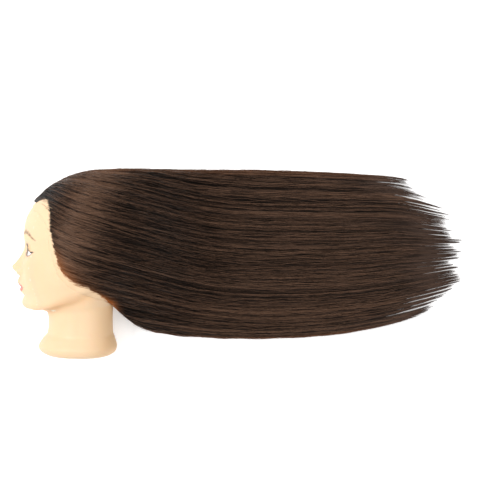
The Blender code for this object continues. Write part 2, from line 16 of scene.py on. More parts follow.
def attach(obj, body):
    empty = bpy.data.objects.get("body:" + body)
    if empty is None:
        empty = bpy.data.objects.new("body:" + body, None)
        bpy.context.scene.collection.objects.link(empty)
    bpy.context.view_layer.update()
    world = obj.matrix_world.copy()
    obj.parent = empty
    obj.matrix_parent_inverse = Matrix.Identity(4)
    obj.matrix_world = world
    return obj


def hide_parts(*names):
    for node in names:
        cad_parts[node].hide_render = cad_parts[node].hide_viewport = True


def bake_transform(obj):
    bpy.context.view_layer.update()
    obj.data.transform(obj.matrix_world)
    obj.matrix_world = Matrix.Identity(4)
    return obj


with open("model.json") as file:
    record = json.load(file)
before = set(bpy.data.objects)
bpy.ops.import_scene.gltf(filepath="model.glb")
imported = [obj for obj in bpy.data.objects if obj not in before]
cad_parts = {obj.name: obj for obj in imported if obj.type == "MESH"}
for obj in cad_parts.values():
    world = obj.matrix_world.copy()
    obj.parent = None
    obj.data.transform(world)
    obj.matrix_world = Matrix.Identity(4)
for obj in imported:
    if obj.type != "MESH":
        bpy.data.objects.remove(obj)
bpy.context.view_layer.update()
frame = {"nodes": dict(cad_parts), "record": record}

MM = 0.001
rng = np.random.default_rng(7)


# ---- the head's own frame

def node_points(name):
    mesh = frame["nodes"][name].data
    co = np.empty(len(mesh.vertices) * 3)
    mesh.vertices.foreach_get("co", co)
    return co.reshape(-1, 3)


def head_matrix():
    """X from face to back, Y up the neck's axis to the crown, Z to the left side."""
    down = Vector(frame["record"]["mounts"][0]["axis"])
    tilt = math.atan2(-down.z, -down.y)
    points = node_points("clamp_socket")
    along_axis = points @ -np.array(down)
    end_ring = points[along_axis < along_axis.min() + 0.1 * MM]
    return Matrix.Translation(end_ring.mean(axis=0)) @ Matrix.Rotation(tilt, 4, "X")


HEAD = head_matrix()
ORIGIN = np.array(HEAD.translation)


# ---- numbers and meshes

def ramp(value):
    """Goes smoothly from 0 to 1 while the value does, and stays there beyond."""
    value = np.clip(value, 0.0, 1.0)
    return value * value * (3 - 2 * value)


def rows_at(rows, at):
    """Smooth values, without overshoot, through rows that are sorted by their first number."""
    table = np.array(rows, dtype=float)
    x, y = table[:, 0], table[:, 1:]
    at = np.clip(np.asarray(at, dtype=float), x[0], x[-1])
    step = np.diff(x)[:, None]
    slopes = np.diff(y, axis=0) / step
    before, after = slopes[:-1], slopes[1:]
    same = before * after > 0
    inner = np.where(same, 2 * before * after / np.where(same, before + after, 1.0), 0.0)
    slope = np.concatenate([slopes[:1], inner, slopes[-1:]])
    i = np.clip(np.searchsorted(x, at, side="right") - 1, 0, len(x) - 2)
    h = step[i]
    t = ((at - x[i]) / h[..., 0])[..., None]
    left = (1 + 2 * t) * (1 - t) ** 2 * y[i] + t * (1 - t) ** 2 * h * slope[i]
    right = t * t * (3 - 2 * t) * y[i + 1] - t * t * (1 - t) * h * slope[i + 1]
    return left + right


def line_at(line, at):
    """Values along a line of (place, value) pairs, straight between them."""
    return np.interp(at, *np.array(line).T)


def hill(distance, width):
    return np.exp(-(distance / width) ** 2)


def mesh_from(name, points, quads, triangles=()):
    """A mesh from arrays of points, four-sided faces and three-sided faces."""
    quads = np.asarray(quads, dtype=np.int32).reshape(-1, 4)
    triangles = np.asarray(triangles, dtype=np.int32).reshape(-1, 3)
    mesh = bpy.data.meshes.new(name)
    mesh.vertices.add(len(points))
    mesh.vertices.foreach_set("co", np.asarray(points, dtype=np.float32).ravel())
    corners = np.concatenate([quads.ravel(), triangles.ravel()])
    mesh.loops.add(len(corners))
    mesh.loops.foreach_set("vertex_index", corners)
    count = len(quads) + len(triangles)
    starts = np.concatenate([np.arange(len(quads)) * 4, 4 * len(quads) + np.arange(len(triangles)) * 3])
    mesh.polygons.add(count)
    mesh.polygons.foreach_set("loop_start", starts.astype(np.int32))
    mesh.polygons.foreach_set("use_smooth", np.ones(count, dtype=bool))
    mesh.update(calc_edges=True)
    mesh.validate()
    return mesh


def add_piece(name, mesh, material):
    mesh.materials.append(material)
    piece = bpy.data.objects.new(name, mesh)
    bpy.context.scene.collection.objects.link(piece)
    return piece


def add_values(mesh, name, values, kind="FLOAT"):
    attribute = mesh.attributes.new(name, kind, "POINT")
    key = "color" if kind == "FLOAT_COLOR" else "value"
    attribute.data.foreach_set(key, np.asarray(values, dtype=np.float32).ravel())


def grid_quads(rows, columns, wrap=False, first=0):
    """Faces of a grid of points, row after row, whose columns may close on themselves."""
    row = np.arange(rows - 1)[:, None] * columns
    above = row + columns
    here = np.arange(columns if wrap else columns - 1)[None, :]
    beside = (here + 1) % columns
    quads = np.stack([row + here, row + beside, above + beside, above + here], axis=-1)
    return quads.reshape(-1, 4) + first


def linear(red, green, blue):
    """A colour as it looks on a screen, 0 to 255, as the light it stands for."""
    value = np.array([red, green, blue]) / 255
    return np.where(value <= 0.04045, value / 12.92, ((value + 0.055) / 1.055) ** 2.4)


# ---- materials

class Nodes:
    """A material's node tree with short ways to add what the looks here need."""

    def __init__(self, name, roughness, specular=0.5, **sockets):
        self.material = bpy.data.materials.new(name)
        self.material.use_nodes = True
        self.tree = self.material.node_tree
        self.shader = self.tree.nodes["Principled BSDF"]
        self.shader.inputs["Roughness"].default_value = roughness
        self.shader.inputs["Specular IOR Level"].default_value = specular
        for socket, value in sockets.items():
            self.shader.inputs[socket.replace("_", " ")].default_value = value

    def add(self, kind, inputs=(), **settings):
        node = self.tree.nodes.new(kind)
        for key, value in settings.items():
            setattr(node, key, value)
        for key, value in dict(inputs).items():
            self.put(value, node.inputs[key])
        return node

    def put(self, value, socket):
        if isinstance(value, bpy.types.NodeSocket):
            self.tree.links.new(value, socket)
        elif hasattr(value, "__len__") and len(value) == 3 and socket.type == "RGBA":
            socket.default_value = (*value, 1.0)
        else:
            socket.default_value = value

    def math(self, operation, a, b=0.0):
        return self.add("ShaderNodeMath", {0: a, 1: b}, operation=operation).outputs[0]

    def mix(self, factor, a, b, blend="MIX"):
        node = self.add("ShaderNodeMix", data_type="RGBA", blend_type=blend)
        for index, value in ((0, factor), (6, a), (7, b)):
            self.put(value, node.inputs[index])
        return node.outputs[2]

    def attribute(self, name, output="Fac"):
        return self.add("ShaderNodeAttribute", attribute_name=name).outputs[output]

    def position(self):
        return self.add("ShaderNodeTexCoord").outputs["Object"]

    def stretched(self, scale):
        return self.add("ShaderNodeMapping", {"Vector": self.position(), "Scale": scale}).outputs["Vector"]

    def noise(self, scale, detail=2.0, rough=0.5, vector=None):
        where = vector or self.position()
        inputs = {"Vector": where, "Scale": scale, "Detail": detail, "Roughness": rough}
        return self.add("ShaderNodeTexNoise", inputs).outputs["Fac"]

    def fit(self, value, low, high, to_low=0.0, to_high=1.0):
        inputs = {"Value": value, "From Min": low, "From Max": high, "To Min": to_low, "To Max": to_high}
        return self.add("ShaderNodeMapRange", inputs).outputs["Result"]

    def bump(self, height, strength, distance):
        inputs = {"Height": height, "Strength": strength, "Distance": distance}
        self.put(self.add("ShaderNodeBump", inputs).outputs["Normal"], self.shader.inputs["Normal"])

    def finish(self, colour, roughness=None):
        self.put(colour, self.shader.inputs["Base Color"])
        if roughness is not None:
            self.put(roughness, self.shader.inputs["Roughness"])
        return self.material


SKIN_COLOUR = linear(216, 186, 151)
SKIN_SHADE = linear(210, 172, 132)
HAIR_DARK = linear(5, 4, 3)
HAIR_MIDDLE = linear(29, 20, 17)
HAIR_LIGHT = linear(104, 78, 62)
HAIR_LIT_THROUGH = linear(182, 108, 54)
HAIR_TIP_LIT_THROUGH = linear(104, 84, 74)


def skin_material():
    """Soft matt vinyl under sprayed paint, whose colours, with painted shade and a painted glint among them,
    come with the mesh and which is glossier.
    """
    n = Nodes("painted_soft_vinyl", 0.5, 0.35, Subsurface_Weight=0.12, Subsurface_Scale=0.006)
    n.shader.inputs["Subsurface Radius"].default_value = (1.0, 0.42, 0.16)
    cloudy = n.fit(n.noise(22, 3), 0.35, 0.65)
    vinyl = n.mix(n.math("MULTIPLY", cloudy, 0.10), n.attribute("paint", "Color"), SKIN_SHADE)
    pores = n.noise(1500, 2, 0.6)
    n.bump(n.math("ADD", pores, n.math("MULTIPLY", n.noise(140, 2), 1.5)), 0.10, 0.0006)
    gloss = n.attribute("gloss")
    roughness = n.math("SUBTRACT", n.fit(cloudy, 0, 1, 0.46, 0.54), n.math("MULTIPLY", gloss, 0.26))
    return n.finish(vinyl, roughness)


def cap_material():
    """Thin scalp vinyl, a little rougher than the face."""
    n = Nodes("scalp_vinyl", 0.56, 0.3)
    cloudy = n.fit(n.noise(30, 3), 0.35, 0.65)
    n.bump(n.noise(1100, 2, 0.6), 0.15, 0.0005)
    return n.finish(n.mix(n.math("MULTIPLY", cloudy, 0.25), SKIN_COLOUR, SKIN_SHADE))


def foam_material():
    n = Nodes("rigid_foam", 0.95, 0.1)
    cells = n.noise(420, 3, 0.7)
    n.bump(cells, 0.5, 0.0008)
    return n.finish(n.mix(n.fit(cells, 0.3, 0.7), linear(214, 205, 182), linear(236, 230, 212)))


def moulded_plastic(name, colour, shade, roughness):
    n = Nodes(name, roughness, 0.45)
    n.bump(n.noise(700, 2, 0.6), 0.12, 0.0004)
    cloudy = n.fit(n.noise(35, 2), 0.3, 0.7)
    uneven = n.fit(n.noise(60, 3), 0.3, 0.7, roughness - 0.05, roughness + 0.08)
    return n.finish(n.mix(cloudy, colour, shade), uneven)


def hair_material(name):
    """Coloured strand by strand: tone, dark to light, holds a painted highlight and shade; rim is painted
    warm light through thin hair over skin and at the edges; tip is the pale ends, painted light through
    them.
    """
    n = Nodes(name, 0.30, 0.15)
    n.shader.inputs["Specular Tint"].default_value = (1.0, 0.80, 0.66, 1.0)
    tone = n.attribute("tone")
    patchy = n.noise(1.0, 3, 0.65, n.stretched((14, 420, 60)))
    tone = n.math("ADD", tone, n.fit(patchy, 0.3, 0.7, -0.16, 0.16))
    dark = n.mix(n.fit(tone, 0.0, 0.5), HAIR_DARK, HAIR_MIDDLE)
    colour = n.mix(n.fit(tone, 0.5, 1.0), dark, HAIR_LIGHT)
    # painted warm light through thin hair, over skin and at the edges
    colour = n.mix(n.attribute("rim"), colour, HAIR_LIT_THROUGH)
    # pale ends: painted light through the thin tips
    colour = n.mix(n.attribute("tip"), colour, HAIR_TIP_LIT_THROUGH)
    n.bump(n.noise(1.0, 2, 0.5, n.stretched((60, 2400, 2400))), 0.25, 0.0003)
    return n.finish(colour, n.fit(tone, 0.0, 1.0, 0.34, 0.27))


# ---- head

# Rings of the head as drawn: front x, front y, back x, back y and half width, in mm.
HEAD_RINGS = (
    (-48, 0, 48.5, 0, 50), (-55, 4, 54, 4, 54.5), (-58.5, 11, 56, 11, 56), (-52, 22.5, 53, 23.5, 50),
    (-45, 31.5, 50.5, 31.5, 46), (-43, 48.5, 50, 48.5, 45.5), (-45, 61.5, 50.5, 69.5, 46),
    (-60, 66.5, 55, 83.5, 50), (-75, 67.5, 61, 95.5, 55), (-80.5, 75.5, 68, 107.5, 59),
    (-79.5, 84.5, 76, 120.5, 64), (-82.5, 97.5, 86, 135.5, 67.5), (-83.5, 114.5, 93, 151.5, 69.5),
    (-80, 133.5, 98, 166.5, 71.5), (-76.5, 154.5, 101, 182.5, 73.5), (-77.5, 171.5, 101, 197.5, 74),
    (-76.5, 186.5, 98, 211.5, 73), (-72.5, 201.5, 91, 226.5, 70), (-63, 216.5, 79, 241, 64),
    (-44, 233.5, 59, 252, 51), (-19, 248, 35, 257.5, 33),
)
CROWN = np.array([6.0, 258.0, 0.0])
FRONT_NARROWING = 0.10
CORNER_FULLNESS = 0.04
SKIN_WALL = 3.5

# The face's midline: height, how far it stands out and its half width, in mm.
NOSE = (
    (113.5, 0, 9), (116, 1.5, 10), (119.5, 6.5, 10.5), (124, 12, 10), (128.5, 14.6, 8.6), (132.5, 11.8, 7.2),
    (137, 8.6, 6.4), (143.5, 5.2, 5.6), (150.5, 2.6, 5.6), (157.5, 0.8, 6.5), (165.5, 0, 9),
)
LIPS = (
    (82.5, 0, 16), (86.5, -0.8, 17), (89.5, 0.4, 17), (91.5, 2.1, 17), (94, 2.8, 17.5), (96.3, 1.9, 19),
    (97.8, 0.1, 21), (99.3, 1.9, 19), (102, 3.1, 17), (104.5, 4.3, 15), (106.7, 4.4, 12),
    (111, 3, 9), (115.5, 0.8, 8), (119.5, 0, 8),
)
MOUTH_HEIGHT, MOUTH_HALF_WIDTH, MOUTH_BOW = 97.8, 19.5, 0.004
# Soft swellings and hollows: height, distance from the middle, their two radii and how far out.
SWELLINGS = (
    (73.5, 0, 9, 13, 1.6), (79.5, 31, 14, 13, -3.2), (143.5, 38, 30, 17, 5), (126.5, 45, 16, 14, 1.6),
    (105.5, 47, 15, 14, -1.4), (174.5, 27, 6.5, 19, 1.6), (196.5, 26, 18, 24, 1.2),
    (120.5, 12, 4.6, 4.2, 4.6), (120.5, 18, 6, 2.8, -1.6), (126, 11.5, 2.6, 3.2, -0.9),
    (110.5, 0, 4, 1.8, -0.7), (110.5, 26, 12, 4.5, -0.7), (153.5, 14.5, 8.5, 4.8, -4.6),
    (84.5, 0, 3.5, 11, -0.5), (164, 27, 4.5, 15, -1.6), (144.5, 30, 4.2, 14, -1.5),
)
EYE_BALL = (-59.2, 155.0, 28.0, 12.6)     # centre x, y, distance from the middle and radius
EYE_HALF_WIDTH, EYE_ABOVE, EYE_BELOW, EYE_RISE = 12.6, 7.6, 6.6, -3.0
LID_THICKNESS = 1.1
LID_SOFTNESS = 1.6
BROW_ARCH = ((6, 173.5), (9, 174.8), (18, 180.5), (25, 182.2), (34, 180), (44, 173.5), (48, 171))
BROW_THICKNESS = ((6, 0.8), (9, 2.4), (18, 2.7), (30, 2.1), (44, 1.0), (48, 0.3))
NOSTRIL = (-85.0, 116.7, 5.6, 2.9)        # centre x, y, distance from the middle and radius
NOSTRIL_DEPTH = 3.2
JAW_LINE = ((-80, 64.5), (-60, 65.5), (-43, 70.5), (-25, 79.5), (11, 92.5), (40, 105.5))
# The scalp cap's edge seen from the side, as x and y in mm.
CAP_EDGE = (
    (-78, 212.5), (-64, 214.5), (-54, 212.5), (-43, 198.5), (-40, 185.5), (-38, 169.5), (-34, 153.5),
    (-31, 139.5), (-25, 124.5), (-12, 109.5), (4, 98.5), (22, 90.5), (40, 83.5), (58, 73.5), (76, 59.5),
)
CAP_RISE, CAP_SUNK = 2.2, 0.9             # its outside rises by so much from below the skin at its edge
CAP_INSIDE = 1.2                          # and its inside lies so far below the skin


def head_surface(steps, angles):
    """Points of the bare head in mm, one row for each step up the rings and one column for each angle."""
    rings = [(i, *ring) for i, ring in enumerate(HEAD_RINGS)]
    front_x, front_y, back_x, back_y, half = (value[:, None] for value in rows_at(rings, steps).T)
    ahead = np.cos(angles)[None, :]
    side = np.sin(angles)[None, :]
    fullness = 1 + CORNER_FULLNESS * np.abs(np.sin(2 * angles))
    width = half * (1 - FRONT_NARROWING * (0.5 + 0.5 * ahead)) * fullness
    x = (front_x + back_x) / 2 + (front_x - back_x) / 2 * ahead
    y = (front_y + back_y) / 2 + (front_y - back_y) / 2 * ahead
    return np.stack([x, y, width * side], axis=-1)


def crowded_angles(count, crowding):
    """Angles round the head from its front, where they lie closer together."""
    even = np.linspace(0, 2 * math.pi, count, endpoint=False)
    return even - crowding * np.sin(even)


def outward(points):
    """Normals of a grid whose columns close on themselves and whose rows go up."""
    around = np.roll(points, -1, axis=1) - np.roll(points, 1, axis=1)
    upward = np.gradient(points, axis=0)
    normal = np.cross(around, upward)
    normal /= np.linalg.norm(normal, axis=-1, keepdims=True) + 1e-12
    middle = points.mean(axis=1, keepdims=True)
    if ((points - middle) * normal).sum() < 0:
        normal = -normal
    return normal


def midline(rows, y, across, power):
    stand, half = np.moveaxis(rows_at(rows, y), -1, 0)
    inside = (y > rows[0][0]) & (y < rows[-1][0])
    return np.where(inside, stand * np.exp(-(across / half) ** power), 0.0)


def features(y, across):
    """How far nose, lips and swellings stand out of the bare face, in mm."""
    bow = MOUTH_BOW * across ** 2
    out = midline(NOSE, y, across, 2.2)
    out += midline(LIPS, y - bow, across, 3.4)
    for height, middle, tall, wide, push in SWELLINGS:
        out += push * hill(y - height, tall) * hill(across - middle, wide)
    seam = hill(y - bow - MOUTH_HEIGHT, 0.9) * ramp((MOUTH_HALF_WIDTH - across) / 3)
    out -= 1.3 * seam
    return out


def eye_outline(across):
    """Heights of the upper and the lower lid's edge, and how far inside the eye a place is across it."""
    _, middle_y, middle, _ = EYE_BALL
    u = (across - middle) / EYE_HALF_WIDTH
    open_share = np.clip(1 - u * u, 0, None)
    line = middle_y + EYE_RISE * u
    return line + EYE_ABOVE * open_share ** 0.85, line - EYE_BELOW * open_share ** 0.9, open_share


def eye_opening(y, across):
    """Signed distance in mm inside the opening between the lids."""
    upper, lower, open_share = eye_outline(across)
    inside = np.minimum(upper - y, y - lower)
    return np.where(open_share > 0, inside, -np.abs(across - EYE_BALL[2]) + EYE_HALF_WIDTH)


def with_eye(x, y, across):
    """The face's x once the lids lie over the eyeball and the ball shows between them."""
    ball_x, ball_y, middle, radius = EYE_BALL
    opening = eye_opening(y, across)
    lid = LID_THICKNESS * ramp(0.5 - opening / 1.1)
    reach = np.clip((radius + lid) ** 2 - (y - ball_y) ** 2 - (across - middle) ** 2, 0, None)
    ball = ball_x - np.sqrt(reach)
    bulge = x - ball
    raised = np.where(reach > 0, 0.5 * (bulge + np.sqrt(bulge ** 2 + LID_SOFTNESS ** 2)), 0.0)
    near = ramp((opening + 6.5) / 3.5)
    sunk = ramp((opening + 0.6) / 1.2)
    return x - raised * near * (1 - sunk) - bulge * sunk * (reach > 0)


def jaw_relief(x, y, across):
    """How far the jaw's edge stands out, and below it the hollow sinks in, in mm."""
    above = y - line_at(JAW_LINE, x)
    beside = ramp((across - 12) / 20) * ramp((x + 78) / 14) * ramp((34 - x) / 30)
    return (2.0 * hill(above - 7, 8) - 2.4 * hill(above + 8, 8)) * beside


def model_face(points):
    """Moves the front of the bare head into a face."""
    x, y, z = np.moveaxis(points, -1, 0)
    across = np.abs(z)
    x = x - features(y, across) * ramp((-x - 18) / 22)
    x = with_eye(x, y, across)
    shaped = np.stack([x, y, z], axis=-1)
    normal = outward(shaped)
    nose_x, nose_y, nose_z, radius = NOSTRIL
    reach = np.sqrt((x - nose_x) ** 2 * 0.45 + (y - nose_y) ** 2 + (across - nose_z) ** 2)
    shaped -= normal * (NOSTRIL_DEPTH * hill(reach, radius))[..., None]
    return shaped + normal * jaw_relief(x, y, across)[..., None]


def beyond_edge(edge, x, y):
    """Signed distance in mm from an edge in x and y, positive towards the crown and the back."""
    line = np.array(edge, dtype=float)
    best = np.full(np.shape(x), 1e9)
    sign = np.ones(np.shape(x))
    for (ax, ay), (bx, by) in zip(line, line[1:]):
        dx, dy = bx - ax, by - ay
        t = np.clip(((x - ax) * dx + (y - ay) * dy) / (dx * dx + dy * dy), 0, 1)
        gap = np.hypot(x - ax - t * dx, y - ay - t * dy)
        side = np.where(dx * (y - ay) - dy * (x - ax) > 0, 1.0, -1.0)
        nearer = gap < best - 1e-9
        best = np.where(nearer, gap, best)
        sign = np.where(nearer, side, sign)
    return best * sign


# ---- paint of the face, with painted shade and a painted glint

def over(base, colour, amount):
    amount = np.clip(amount, 0, 1)[..., None]
    return base * (1 - amount) + np.asarray(colour) * amount


def layered(base, layers):
    """A base colour under layers of paint, each a colour and how much of it lies at each point."""
    for colour, amount in layers:
        base = over(base, colour, amount)
    return base


def shaded_skin(x, y, across, front):
    """Vinyl with painted shade under the jaw, on the neck's back and below the nose, a pink tint on the
    cheek and the cap's line.
    """
    jaw = line_at(JAW_LINE, x)
    cap = beyond_edge(CAP_EDGE, x, y)
    seam = 0.24 * hill(cap + 0.3, 0.8) * np.maximum(ramp((y - 196) / 10), ramp((x - 2) / 16))
    return layered(SKIN_COLOUR, (
        # painted shade under the jaw
        (linear(236, 176, 116), 0.30 * hill(y - jaw + 3, 9) * (x > -76) * (x < 45)),
        # painted shade on the neck's back, the side away from the light
        (linear(226, 178, 122), 0.55 * ramp((x - 15) / 45) * (y < 73.5)),
        (linear(240, 160, 120), 0.22 * hill(y - 133.5, 13) * hill(across - 42, 15) * front),
        # painted shade under the nose
        (linear(222, 150, 104), 0.45 * hill(y - 112.5, 3.5) * hill(across - 8, 8) * front),
        (linear(196, 152, 104), seam * (x < 60)),
    ))


def paint_lips(colour, y, across, front):
    """Rose lips, lighter above and dark where they meet, and how much of them lies at each point."""
    height = y - MOUTH_BOW * across ** 2
    full = np.sqrt(np.clip(1 - (across / MOUTH_HALF_WIDTH) ** 2, 0, 1))
    dip = 1.3 * hill(across, 3.0)
    upper = ramp((MOUTH_HEIGHT + 8.6 * full ** 0.9 - dip - height) / 1.1) * (height > MOUTH_HEIGHT)
    lower = ramp((height - MOUTH_HEIGHT + 7.6 * full) / 1.1) * (height <= MOUTH_HEIGHT)
    lips = (upper + lower) * ramp((MOUTH_HALF_WIDTH - across) / 1.2) * front
    rose = over(linear(172, 40, 48), linear(196, 96, 90), 0.6 * upper)
    line = 0.75 * hill(height - MOUTH_HEIGHT, 0.6) * lips
    return layered(colour, ((rose, lips), (linear(130, 44, 46), line))), lips


def paint_eye(colour, y, across, front):
    """A pink tint below the eye, painted shade in the lid's crease and the eye between the lids with the
    upper lid's painted shadow and a painted glint, and how much of the eye lies at each point.
    """
    _, ball_y, middle, _ = EYE_BALL
    lid, _, open_share = eye_outline(across)
    opening = eye_opening(y, across)
    showing = ramp(opening / 0.5 + 0.5) * front
    iris = np.hypot(y - ball_y - 0.4, across - middle - 2.2)
    painted_glint_gap = np.hypot(y - ball_y - 2.6, across - middle)
    eye = layered(linear(246, 244, 240), (
        # painted shadow of the upper lid on the white of the eye
        (linear(206, 190, 180), 0.5 * ramp((2.2 - (lid - y)) / 2.2)),
        (linear(74, 56, 46), ramp((5.9 - iris) / 0.6)),
        (linear(116, 86, 62), 0.6 * ramp((5.2 - iris) / 1.2) * ramp((ball_y - y + 2) / 5)),
        (linear(22, 18, 18), ramp((2.6 - iris) / 0.5)),
        # a painted glint on the eye
        (linear(255, 255, 255), ramp((0.9 - painted_glint_gap) / 0.5)),
    ))
    return layered(colour, (
        (linear(238, 178, 150), 0.35 * hill(opening + 3, 3.2) * (y < ball_y) * front),
        # painted shade in the lid's crease
        (linear(214, 158, 116), 0.40 * hill(y - lid - 4.2, 2.0) * (open_share > 0) * front),
        (eye, showing),
    )), showing


def paint_liner(colour, y, across, front):
    """The painted line on the upper lid, which runs on past the corner, and the fainter one below."""
    _, ball_y, middle, _ = EYE_BALL
    upper, lower, open_share = eye_outline(across)
    past_corner = across - middle - EYE_HALF_WIDTH + 0.6
    line = np.where(past_corner > 0, ball_y + EYE_RISE + 1.2 + 0.3 * past_corner, upper)
    thick = 2.3 - 0.9 * ramp((across - middle - 4) / 12)
    inside = (across > middle - EYE_HALF_WIDTH + 0.6) & (across < middle + EYE_HALF_WIDTH + 2.6)
    above = ramp((thick - np.abs(y - line - 0.7)) / 0.5) * inside * front
    below = hill(y - lower + 0.1, 1.1) * (open_share > 0.03) * front
    return layered(colour, ((linear(38, 30, 28), 0.98 * above), (linear(70, 52, 46), 0.9 * below)))


def paint_brow(colour, y, across, front):
    arch = rows_at(BROW_ARCH, across)[..., 0]
    thick = rows_at(BROW_THICKNESS, across)[..., 0]
    hairs = 0.82 + 0.18 * np.sin(across * 5.2 + 0.9 * y)
    brow = ramp((thick + 0.7 - np.abs(y - arch)) / 1.2) * (across > 7) * (across < 46) * front
    return over(colour, linear(104, 78, 58), 0.92 * brow * hairs)


def painted(points):
    """Colour and gloss of the sprayed and brushed paint at the points of the face, with painted shade, the
    upper lid's painted shadow and a painted glint in it.
    """
    x, y, z = np.moveaxis(points, -1, 0)
    across = np.abs(z)
    front = ramp((-35 - x) / 12)
    colour = shaded_skin(x, y, across, front)
    colour, lips = paint_lips(colour, y, across, front)
    colour, eye = paint_eye(colour, y, across, front)
    colour = paint_liner(colour, y, across, front)
    colour = paint_brow(colour, y, across, front)
    return colour, np.maximum(0.7 * lips, eye)


# ---- skin and scalp cap

def skin_faces(rows, inner_rows, columns):
    """Faces of two grids that each end in a point at the crown and meet in a rim at the neck."""
    first = rows * columns + 1
    last = first + inner_rows * columns
    top, inner_top = (rows - 1) * columns, first + (inner_rows - 1) * columns
    k = np.arange(columns)
    n = (k + 1) % columns
    quads = np.concatenate([
        grid_quads(rows, columns, wrap=True),
        grid_quads(inner_rows, columns, wrap=True, first=first)[:, ::-1],
        np.stack([n, k, first + k, first + n], axis=-1),
    ])
    caps = np.concatenate([
        np.stack([top + k, top + n, np.full(columns, first - 1)], axis=-1),
        np.stack([inner_top + n, inner_top + k, np.full(columns, last)], axis=-1),
    ])
    return quads, caps


def place_on_head(mesh):
    """Turns a closed mesh's faces outwards and moves it from the head's own frame to the part's."""
    shell = bmesh.new()
    shell.from_mesh(mesh)
    if shell.calc_volume(signed=True) < 0:
        bmesh.ops.reverse_faces(shell, faces=shell.faces)
        shell.to_mesh(mesh)
    shell.free()
    mesh.transform(HEAD)


def face_piece():
    """The soft skin: a sculpted outside, a plain inside and the rim between them at the neck."""
    neck, face, skull = np.linspace(0, 6.4, 46), np.linspace(6.5, 15.4, 178), np.linspace(15.5, 20, 30)
    steps = np.concatenate([neck, face, skull])
    inner_steps = np.concatenate([np.linspace(0, 6, 14), np.linspace(6.6, 20, 30)])
    angles = crowded_angles(264, 0.66)
    outside = model_face(head_surface(steps, angles))
    bare = head_surface(inner_steps, angles)
    inside = bare - outward(bare) * SKIN_WALL
    inside[0, :, 1] = 0
    ends = (CROWN[None], CROWN[None] - (0, SKIN_WALL, 0))
    points = np.concatenate([outside.reshape(-1, 3), ends[0], inside.reshape(-1, 3), ends[1]]) * MM
    mesh = mesh_from("face_and_neck", points, *skin_faces(len(steps), len(inner_steps), len(angles)))
    colour, gloss = painted(outside)
    plain = np.broadcast_to(SKIN_COLOUR, (len(points) - gloss.size, 3))
    colours = np.concatenate([colour.reshape(-1, 3), plain])
    alpha = np.ones((len(points), 1))
    # the paint colours hold painted shade, the upper lid's painted shadow and a painted glint
    add_values(mesh, "paint", np.concatenate([colours, alpha], axis=1), "FLOAT_COLOR")
    add_values(mesh, "gloss", np.concatenate([gloss.ravel(), np.zeros(len(plain))]))
    place_on_head(mesh)
    return add_piece("face_and_neck", mesh, skin_material())


def cap_piece():
    """The scalp cap: a thin shell over the head that thins out to nothing at its edge."""
    bare = model_face(head_surface(np.linspace(6, 20, 110), crowded_angles(150, 0.45)))
    rows, columns = bare.shape[:2]
    beyond = beyond_edge(CAP_EDGE, bare[..., 0], bare[..., 1])
    normal = outward(bare)
    outside = bare + normal * (CAP_RISE * ramp((beyond + 1.2) / 2.4) - CAP_SUNK)[..., None]
    inside = bare - normal * CAP_INSIDE
    ends = (CROWN[None] + (0, CAP_RISE - CAP_SUNK, 0), CROWN[None] - (0, CAP_INSIDE, 0))
    points = np.concatenate([outside.reshape(-1, 3), ends[0], inside.reshape(-1, 3), ends[1]]) * MM

    inner = rows * columns + 1
    quads = grid_quads(rows, columns, wrap=True)
    kept = quads[(beyond > -3.0).ravel()[quads].all(axis=1)]
    k = np.arange(columns) + (rows - 1) * columns
    n = (np.arange(columns) + 1) % columns + (rows - 1) * columns
    caps = np.stack([k, n, np.full(columns, inner - 1)], axis=-1)
    edges = dict.fromkeys((a, b) for quad in kept for a, b in zip(quad, np.roll(quad, -1)))
    rim = [(b, a, a + inner, b + inner) for a, b in edges
           if (b, a) not in edges and not (a in k and b in k)]
    quads = np.concatenate([kept, kept[:, ::-1] + inner, np.array(rim)])
    triangles = np.concatenate([caps, caps[:, ::-1] + inner])
    used = np.unique(np.concatenate([quads.ravel(), triangles.ravel()]))
    renumber = np.zeros(len(points), dtype=int)
    renumber[used] = np.arange(len(used))
    mesh = mesh_from("rooted_scalp_cap", points[used], renumber[quads], renumber[triangles])
    place_on_head(mesh)
    return add_piece("rooted_scalp_cap", mesh, cap_material())


# ---- form of the hair

# Outlines seen from above, as x and y in mm.
HAIRLINE = (
    (-64, 226.5), (-56, 223), (-47.5, 217.5), (-43.5, 208.5), (-42.5, 199.5), (-41.5, 182), (-37.5, 165),
    (-33, 151.1), (-30.5, 135.5), (-25, 120.5), (-12, 107.5), (2.5, 96.9), (19.6, 89.5), (36.5, 82),
    (51.5, 74.5), (57, 63.5),
)
UPPER_EDGE = (
    (-64, 221.5), (-60, 223.5), (-56, 228), (-51.5, 232.5), (-43, 239.5), (-34, 245.5), (-25, 250.5),
    (-11, 256.8), (3.6, 261.8), (18, 264.8), (32.6, 267), (47, 268), (76, 268), (105, 267.5),
    (149, 268.5), (192, 271), (250, 273), (323, 271), (395, 268.5), (439, 266), (475, 263),
    (503, 253), (533, 241), (566, 230),
)
LOWER_EDGE = (
    (-64, 147), (-45, 131), (-25, 115), (-12, 102.5), (2.5, 91.5), (19.6, 84), (36.5, 77), (51.5, 65),
    (61.6, 51), (76, 42), (90.6, 32), (105, 26.5), (120, 23), (149, 18.8), (178, 17.2), (207, 15.3),
    (265, 14.5), (323, 16), (388, 21), (439, 30), (476, 39.5), (506, 49), (533, 60), (566, 74),
)
